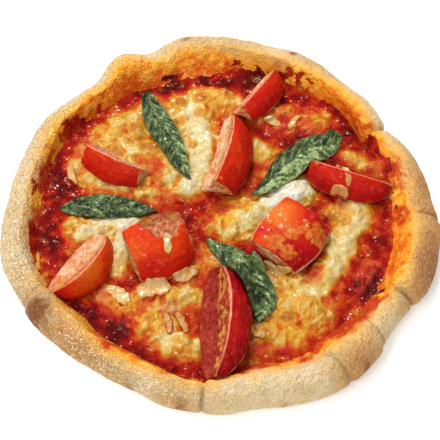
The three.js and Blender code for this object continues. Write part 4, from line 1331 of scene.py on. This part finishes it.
def wedge_shell(name, seed):
    """The wedge's grid with its wrinkles, pulp, sag and smears, and its measures: those of the sections,
    wet for the height of the pulp, smear for baked-on sauce, and the colours of flesh and skin. The skin's
    tone carries painted light and shade: more orange towards the wedge's top, deeper red below."""
    wedge = wedge_table[name]
    grid = wedge_grid(wedge)
    face, skin, border, tip = section_measures(grid, wedge.whole)
    a, b, c = np.moveaxis(grid, -1, 0)
    wrinkle = (0.15 + 0.5 * wedge.flesh) * fractal(a / 3, b, c, size=3.4, octaves=3, seed=seed)
    wrinkle = wrinkle + 0.8 * noise(a, b, c, size=12, seed=seed + 3)
    pulp = 0.8 * fractal(a, b, c, size=3.4, octaves=3, seed=seed + 5)
    inner = (1 - skin) * np.sin(np.pi * np.clip(face, 0, 1)) ** 0.5
    outward = normals_of(grid, round_about=True)
    if volume_of(round_shell(grid)) < 0:
        outward = -outward
    grid = grid + (wrinkle * mix(0.5, 1.0, skin) + pulp * inner)[..., None] * outward
    grid = laid_down(grid, wedge)
    px, py, pz = np.moveaxis(grid, -1, 0)
    facing_up = smoothstep(0.2, 0.7, tipped(outward, wedge)[..., 2])
    rough = fractal(px, py, pz, size=3.2, octaves=3, seed=seed + 7)
    smear = smoothstep(0.2, 0.95, (spots(px, py, SMEARS) * 0.9 + 0.35 * rough) * facing_up)
    hollow = smoothstep(0.1, 0.5, spots(px, py, HOLLOWS) + 0.12 * rough) * facing_up * (name == HOLLOWED)
    grid[..., 2] += smear * (0.3 + 0.3 * rough) - hollow * (4.2 - 2.6 * rough)
    note_heights(grid)
    # Painted light and shade: the tone rises towards the top of the wedge and falls towards its base.
    height = (pz - pz.min()) / np.ptp(pz)
    tone = wedge.tone + 0.5 * (height - 0.6) + 0.8 * spots(px, py, ORANGE)
    return grid, dict(
        skin=skin * smoothstep(0.5, 0.2, hollow),
        face=face,
        tip=np.clip(tip * skin, 0, 1.1),
        wet=pulp,
        border=border,
        smear=np.maximum(smear, 0.75 * smoothstep(-0.1, 0.5, rough) * hollow),
        flesh=np.full(skin.shape, wedge.flesh),
        tone=tone + 0.15 * noise(px, py, pz, size=11, seed=seed),
    )


slumping = [name for name, wedge in wedge_table.items() if wedge.roll > SLUMP_ROLL]
print("wedges that have slumped:", slumping)

# %% [markdown]
# ## The tomato's finish
#
# The skin is glossy and goes from deep red to orange, black where a tip scorched. It is painted more
# orange towards each wedge's top and deeper red below, as light and shade. A cut face shows pale flesh,
# yellow pips in jelly, and a redder wall under the skin, and flesh that baked long is deep red all over.
# Baked-on sauce lies over both, rougher than the skin.

# %% Mix the tomato's colours and add the wedges
BLACKENED = (0.05, 0.006, 0.004)
CUT_SKIN = (0.74, 0.36, 0.20)
PALE_FLESH = ((0.62, 0.16, 0.05), (0.82, 0.56, 0.38))
DEEP_FLESH = ((0.22, 0.009, 0.008), (0.43, 0.060, 0.032))
JELLY, PIPS = (0.66, 0.40, 0.10), (0.64, 0.34, 0.06)
WALL, UNDER_SKIN = (0.48, 0.07, 0.02), (0.62, 0.26, 0.12)


def skin_colour(tomato, cloud, speck, pulp):
    """Deep red to orange by the stored tone, black at the tips, and a pale line where it was cut. The tone
    holds painted light and shade: more orange at each wedge's top, deeper red below.
    """
    colour = tomato.ramp(
        tomato.measure("tone") + cloud * 0.16 + speck * 0.03 + pulp * 0.1,
        (-0.3, (0.18, 0.002, 0.005)), (0.1, (0.33, 0.004, 0.006)), (0.5, (0.50, 0.013, 0.003)),
        (0.9, (0.56, 0.048, 0.003)), (1.5, (0.64, 0.15, 0.012)),
    )
    scorched = (tomato.measure("tip") + speck * 0.02).step(0.95, 1.04)
    colour = tomato.mix(colour, BLACKENED, scorched * 0.85)
    return tomato.mix(colour, CUT_SKIN, (tomato.measure("border") + pulp * 0.3).step(0.3, 0.9) * 0.7)


def flesh_colour(tomato, cloud, speck, pulp, gel):
    """Pale pink to deep red by the stored flesh, with jelly, pips, a redder wall and a pale line under the
    skin, each between two places on the way out from the core."""
    flesh = tomato.measure("flesh")
    wall = tomato.measure("face") + pulp * 0.05
    pale = tomato.mix(*PALE_FLESH, (pulp * 0.4 + cloud * 0.6 + gel * 0.25).step(-0.4, 0.6))
    deep = tomato.mix(*DEEP_FLESH, (pulp * 0.5 + speck * 0.2 + cloud * 0.4).step(-0.5, 0.8))
    jelly = (gel + pulp * 0.6).step(0.2, 0.7) * wall.step(0.1, 0.3) * (1 - wall.step(0.55, 0.7))
    inside = tomato.mix(tomato.mix(pale, JELLY, jelly * 0.6), deep, flesh)
    inside = tomato.mix(inside, WALL, wall.step(0.6, 0.9) * (1 - flesh * 0.4) * 0.7)
    pips = (tomato.measure("wet") + speck * 0.4 + pulp * 0.2).step(-0.2, 0.3)
    inside = tomato.mix(inside, PIPS, pips * wall.step(0.5, 0.72) * (1 - wall.step(0.82, 0.92)) * 0.75)
    return tomato.mix(inside, UNDER_SKIN, wall.step(0.92, 0.98) * 0.7)


def tomato_finish():
    """Skin and flesh, with baked-on sauce over both and glints that are fewer where it lies."""
    tomato = Finish("baked_tomato", Coat_Roughness=0.1, Specular_IOR_Level=0.05)
    cloud = tomato.noise(10, detail=2, seed=1)
    speck = tomato.noise(1.4, detail=3, seed=2)
    pulp = tomato.noise(3.0, detail=3, seed=3)
    cells = tomato.node("ShaderNodeTexVoronoi", {}, {"Vector": tomato.place, "Scale": 1 / (2.6 * MM)})
    gel = 1 - cells * 1.4
    skin, smear = tomato.measure("skin"), tomato.measure("smear")
    inside = flesh_colour(tomato, cloud, speck, pulp, gel)
    colour = tomato.mix(inside, skin_colour(tomato, cloud, speck, pulp), skin.step(0.3, 0.7))
    baked_on = tomato.ramp(
        pulp * 0.6 + speck * 0.4,
        (-0.8, (0.34, 0.020, 0.006)), (-0.2, (0.48, 0.09, 0.012)), (0.3, (0.56, 0.20, 0.03)),
        (0.9, (0.62, 0.40, 0.13)),
    )
    colour = tomato.mix(colour, baked_on, (smear + speck * 0.2 + pulp * 0.4).step(0.2, 0.95) * 0.85)
    colour = tomato.shade(colour, 1 + speck * (0.28 - skin * 0.14))
    glint = (speck * (smear * 0.6 + 0.3) + pulp * 0.7 - smear * 0.3).step(0.05, 0.4) * 0.6
    tomato.feed(Base_Color=colour, Roughness=0.34 + pulp.step(-0.3, 0.8) * 0.14, Coat_Weight=glint)
    relief = (speck * 0.3 + pulp * 0.4 + gel * 0.5) * (1 - skin)
    tomato.bump(relief + speck * 0.15 + pulp * 0.15, 1.0)
    return tomato.material


baked_tomato = tomato_finish()
for seed, name in enumerate(WEDGES):
    grid, measures = wedge_shell(name, seed=200 + 11 * seed)
    add_piece(name.replace("tomato", "wedge"), round_shell(grid, **measures), baked_tomato, "tomato", name)

# %% [markdown]
# ## Loose shreds
#
# Some grated cheese kept its shape: soft strips, 3 to 11 mm wide, over the sheets and hanging over two of
# the wedges. Each strip is a closed sheet along a curved line, with a round back, laid on the map of
# heights. One mesh holds them all, because they are one kind of thing.

# %% Build the loose shreds
# Start, end, width, thickness, sideways bend, and whiteness.
SHREDS = [
    (58.5, 11.4, 68, 9, 4.5, 1.1, 1, 0.35), (62.5, 30, 68, 12, 3.6, 1.1, 1.5, 0.35),
    (22.3, -29.7, 29.9, -38, 3.5, 0.7, 1, 0.5), (27.8, -34.4, 37.2, -35.6, 3, 0.7, -1, 0.5),
    (-58, -42.5, -47, -54, 8, 0.9, 1, 0.62), (-43, -46.8, -25, -43.5, 11, 0.9, 1, 0.5),
    (-24.2, -38.6, -11.4, -33.5, 6, 1.0, -1, 0.45), (-22.4, -57.6, -17, -70, 4, 1.1, 1, 0.3),
    (-28.4, -58.1, -25.7, -70.6, 3.5, 1.0, 1, 0.25), (-28, -17, -26.5, -31, 4.2, 1.1, 0.5, 0.7),
    (24, 60.4, 33, 57.4, 4, 1.0, 1, 0.5), (38, 54.4, 44, 62.4, 3.5, 1.0, 1, 0.4),
    (-80, 34.9, -76.5, 19.1, 3.5, 0.9, -2, 0.4), (-6.2, -25.3, 1, -30.1, 3.5, 0.9, 1, 0.3),
    (13.7, -69.6, 23, -73, 4, 0.9, 1, 0.5),
]


def joined(shells):
    """Several shells as one."""
    offsets = np.cumsum([0] + [len(shell["points"]) for shell in shells])
    faces = [face + offset for shell, offset in zip(shells, offsets) for face in shell["faces"]]
    names = shells[0]["measures"]
    return {
        "points": np.vstack([shell["points"] for shell in shells]),
        "faces": faces,
        "measures": {name: np.concatenate([shell["measures"][name] for shell in shells]) for name in names},
    }


def shred_shell(start_x, start_y, end_x, end_y, width, thick, bend, white, seed):
    """A strip along a shallow arc, start to end plus bend * 4t(1 - t) sideways. Its width swells and
    shrinks, and closes at the ends as (1 - (2t - 1)⁴)^½. Its back is (1 - s⁴)^½ across and
    (1 - (2t - 1)⁸)^½ along, over the mapped height, which is kept near its middle value."""
    t = np.linspace(0, 1, 44)[:, None]
    s = np.linspace(-1, 1, 15)[None, :]
    dx, dy = end_x - start_x, end_y - start_y
    length = np.hypot(dx, dy)
    swell = 1 + 0.35 * noise(t * length, 0 * t, size=3, seed=seed)
    half = width / 2 * np.sqrt(np.clip(1 - (2 * t - 1) ** 4, 0.0, 1)) * swell
    aside = bend * 4 * t * (1 - t) + half * s + 0.5 * noise(t * length, 0 * t, size=4, seed=seed + 1)
    x = start_x + dx * t - dy / length * aside
    y = start_y + dy * t + dx / length * aside
    ground = evened(mapped_height(x, y), 6)
    ground = np.clip(ground, np.median(ground) - 7, np.median(ground) + 2)
    back = np.sqrt(np.clip(1 - s**4, 0, 1)) * np.sqrt(np.clip(1 - (2 * t - 1) ** 8, 0, 1))
    z = ground - 0.2 + 0.5 * thick * back + 0.3 * fractal(x, y, size=3, octaves=2, seed=seed + 2) * back
    upper = np.stack((x, y, z), -1)
    lower = np.stack((x, y, np.minimum(ground, z) - 0.5), -1)
    shade = white + 0.1 - 0.8 * (1 - back) + 0.35 * fractal(x, y, size=4, octaves=2, seed=seed + 3)
    even = 0 * back
    return sheet_shell(upper, lower, baked=shade, butter=0.2 + even, blister=even, tan=1 - white + even)


strips = [shred_shell(*numbers, seed=600 + 5 * k) for k, numbers in enumerate(SHREDS)]
for strip in strips:
    note_heights(strip["points"])
add_piece("loose_shreds", joined(strips), melted.material, "cheese")

# %% [markdown]
# ## The basil
#
# A basil leaf is a thin blade, puckered between its veins, that wilts over whatever it lies on. It is a
# grid between two drawn edges. Its middle line and side veins are grooves, the blade between them bulges,
# and the whole leaf is laid over the height of the toppings below it.

# %% Describe the basil leaves
# Two edges from tip to tip, how far the leaf arches, and how much paler the half by the second edge is.
LEAVES = {
    "basil_top": (
        [(-43, 69.8), (-42, 60.2), (-38, 50.4), (-31.3, 39.4), (-24.1, 27.8), (-15.4, 20.2)],
        [(-35.8, 73.4), (-29.3, 64.8), (-23.9, 55), (-19.4, 42.6), (-17.2, 31.6), (-15.4, 20.2)],
        2.5, 0.4),
    "basil_left": (
        [(-84.4, 2.7), (-76.4, -0.4), (-65.8, -2.2), (-54.2, -2.2), (-43.2, -1), (-32.7, 2.7)],
        [(-84.6, 5.2), (-76.9, 10.2), (-66.3, 12), (-55.7, 11.4), (-43.4, 8.9), (-32.7, 2.7)],
        2.5, 0.0),
    "basil_right": (
        [(15.9, 10.2), (22.9, 20.8), (29, 33.6), (38.9, 43.9), (50.5, 51.1), (60.7, 49.8), (66.5, 44.5)],
        [(15.9, 10.2), (26, 12.7), (35.1, 17), (43.8, 24.6), (52.1, 32.3), (60.8, 38.1), (66.5, 44.5)],
        3.0, 0.9),
    "basil_lower_right": (
        [(-7.8, -14.4), (-4.2, -22.9), (2.8, -33.2), (9.2, -43.6), (12.8, -50.5), (15.2, -58), (19.7, -65)],
        [(-7.8, -13.8), (8.3, -19.9), (16.6, -27), (24.2, -37.7), (28.6, -47.4), (27.8, -58), (19.7, -65)],
        2.5, 0.3),
}
LEAF_ROWS, LEAF_COLUMNS = 170, 72


def smooth_path(points, t):
    """A smooth curve through points, at shares t of the way: cubic pieces whose slope at each point is half
    the line between its neighbours."""
    p = np.array(points, float)
    p = np.vstack((2 * p[0] - p[1], p, 2 * p[-1] - p[-2]))
    place = np.clip(t, 0, 1) * (len(p) - 3)
    i = np.minimum(place.astype(int), len(p) - 4)
    s = (place - i)[..., None]
    a, b, c, d = p[i], p[i + 1], p[i + 2], p[i + 3]
    return 0.5 * (2 * b + (c - a) * s + (2 * a - 5 * b + 4 * c - d) * s**2 + (3 * b - a - 3 * c + d) * s**3)


def leaf_plan(one, other):
    """The blade seen from above: t runs along it, s across it from edge to edge. The end it starts from is
    rounded, so that it doesn't look cut off. Also its length and its width along it."""
    t = np.linspace(0.008, 0.992, LEAF_ROWS)[:, None]
    s = np.linspace(0, 1, LEAF_COLUMNS)[None, :]
    edge_one, edge_other = smooth_path(one, t), smooth_path(other, t)
    flat = mix(edge_one, edge_other, s[..., None])
    backward = flat[:1, LEAF_COLUMNS // 2] - flat[12:13, LEAF_COLUMNS // 2]
    end_width = np.linalg.norm(edge_one[0] - edge_other[0])
    blunt = 1.4 * (4 * s * (1 - s)) ** 0.7 * end_width / 4 * smoothstep(0.1, 0, t)
    flat = flat + blunt[..., None] * backward[:, None] / np.linalg.norm(backward)
    length = np.linalg.norm(np.diff(edge_one[:, 0], axis=0), axis=1).sum()
    width = np.linalg.norm(edge_one - edge_other, axis=-1)
    return t, s, flat[..., 0], flat[..., 1], length, width


leaf_lengths = [round(float(leaf_plan(one, other)[4])) for one, other, *_ in LEAVES.values()]
print("leaves along one edge, in mm:", leaf_lengths)

# %% [markdown]
# ## The blade of a leaf
#
# Side veins leave the middle one slantwise, so a place between them is counted along the leaf, less a part
# of the distance out to the side. The blade bulges between two veins and wrinkles into small folds as it
# dries. It lies on the toppings like cloth: their heights are evened out, and the blade is laid over them.

# %% Define the leaf
LEAF_THICK = 0.7
VEIN_SPACING = 6.5
VEIN_SLANT = 0.6  # how far a side vein has run on along the leaf at the edge, as a share of the width


def leaf_shell(name, seed):
    """A leaf's closed sheet. Height = evened toppings + an arch between the edges + bulges between the side
    veins - grooves along the veins + fine crinkles."""
    one, other, arch, pale = LEAVES[name]
    t, s, x, y, length, width = leaf_plan(one, other)
    aside = 2 * np.abs(s - 0.5)
    forward, sideways = t * length - VEIN_SLANT * aside * width, s * width
    vein_place = forward / VEIN_SPACING + 0.3 * fractal(x, y, size=6, octaves=2, seed=seed + 8)
    between = np.abs((vein_place + 0.5) % 1 - 0.5) * 2
    groove = np.exp(-((between / 0.14) ** 2)) * smoothstep(1, 0.6, aside)
    midrib = np.exp(-((aside * width / 2 / 0.6) ** 2))
    bulge = np.sin(np.pi * between / 2) ** 0.7 * np.sin(np.pi * np.clip(aside, 0, 1)) ** 0.5
    folded = 1 - np.abs(noise(forward, sideways * 0.6, size=3.6, seed=seed)) * 2.4
    puckered = 1 - np.abs(noise(x, y, size=1.5, seed=seed + 2)) * 2.4
    crinkle = 0.48 * folded + 0.16 * puckered + 0.35 * fractal(x, y, size=3.4, octaves=2, seed=seed + 1)
    curl = 0.8 * noise(x, y, size=14, seed=seed + 4)
    ground = mapped_height(x, y)
    base = np.maximum(evened(ground, 80), evened(ground, 8) - 0.6)
    arched = arch * 4 * s * (1 - s) * np.sin(np.pi * t) ** 0.5
    z = base + LEAF_THICK + arched + curl + 0.5 * bulge + crinkle - 0.3 * groove - 0.5 * midrib
    upper = np.stack((x, y, z), -1)
    return sheet_shell(
        upper, upper - (0, 0, LEAF_THICK),
        vein=np.maximum(groove * 0.6, midrib),
        # bulge carries the blade's relief, from which the finish paints light and shade.
        bulge=0.35 * bulge + 1.5 * crinkle,
        end=np.abs(2 * t - 1) + 0 * s,
        light=pale * smoothstep(0.45, 0.6, s + 0.15 * noise(x, y, size=8, seed=seed)) + 0 * t,
        rim=smoothstep(0.9, 1.0, aside) + 0 * t,
    )


print("side veins of a leaf 55 mm long:", int(55 / VEIN_SPACING), "to a side")

# %% [markdown]
# ## The basil's finish
#
# Baked basil is dark bottle green. It is lighter where the blade bulges towards the light, pale along the
# veins and at a thin edge, nearly black at its dried ends, and waxy, so it glistens in small points.

# %% Mix the basil's colours and add the leaves
VEIN_GREEN = (0.20, 0.27, 0.10)
THIN_EDGE = (0.34, 0.36, 0.18)
DRIED_END = (0.010, 0.010, 0.005)
PAINTED_HIGHLIGHT_GREEN = (0.42, 0.54, 0.24)


def basil_finish():
    """Dark bottle green, with painted light on the bulges, painted shade in the furrows and painted
    highlights on the ridges, pale along the veins, with a waxy gloss.
    """
    basil = Finish("wilted_basil", Coat_Roughness=0.15, Specular_IOR_Level=0.3)
    cloud = basil.noise(7, detail=2, seed=1)
    fine = basil.noise(1.3, detail=3, seed=2)
    light = basil.measure("light")
    height = basil.measure("bulge") * 0.6 + cloud * 0.3 + fine * 0.1 + light * 0.55 - 0.04
    # The ramp paints light onto the bulges and crinkles and shade into the furrows between them.
    green = basil.ramp(
        height,
        (-0.6, (0.003, 0.007, 0.002)), (0.0, (0.012, 0.026, 0.006)), (0.4, (0.055, 0.09, 0.024)),
        (0.75, (0.16, 0.23, 0.07)), (1.3, (0.40, 0.48, 0.22)),
    )
    green = basil.mix(green, VEIN_GREEN, (basil.measure("vein") + fine * 0.3).step(0.6, 1.2) * 0.4)
    green = basil.mix(green, THIN_EDGE, basil.measure("rim") * light * 0.8)
    green = basil.mix(green, DRIED_END, (basil.measure("end") + cloud * 0.06).step(0.9, 1.02) * 0.8)
    # Painted highlight: the highest ridges of the blade are lightened to a pale green.
    green = basil.mix(green, PAINTED_HIGHLIGHT_GREEN, (fine * 0.25 + height).step(0.6, 1.2) * 0.65)
    green = basil.shade(green, 1.15 + fine * 0.35)
    roughness = 0.36 + fine.step(-0.4, 0.8) * 0.2
    basil.feed(Base_Color=green, Roughness=roughness, Coat_Weight=fine.step(0.0, 0.3))
    basil.bump(fine, 0.9)
    return basil.material


wilted = basil_finish()
for seed, name in enumerate(LEAVES):
    add_piece(name.replace("basil", "leaf"), leaf_shell(name, seed=400 + 7 * seed), wilted, "basil", name)

# %% [markdown]
# The dressed pizza has to fit the box of the packed model.
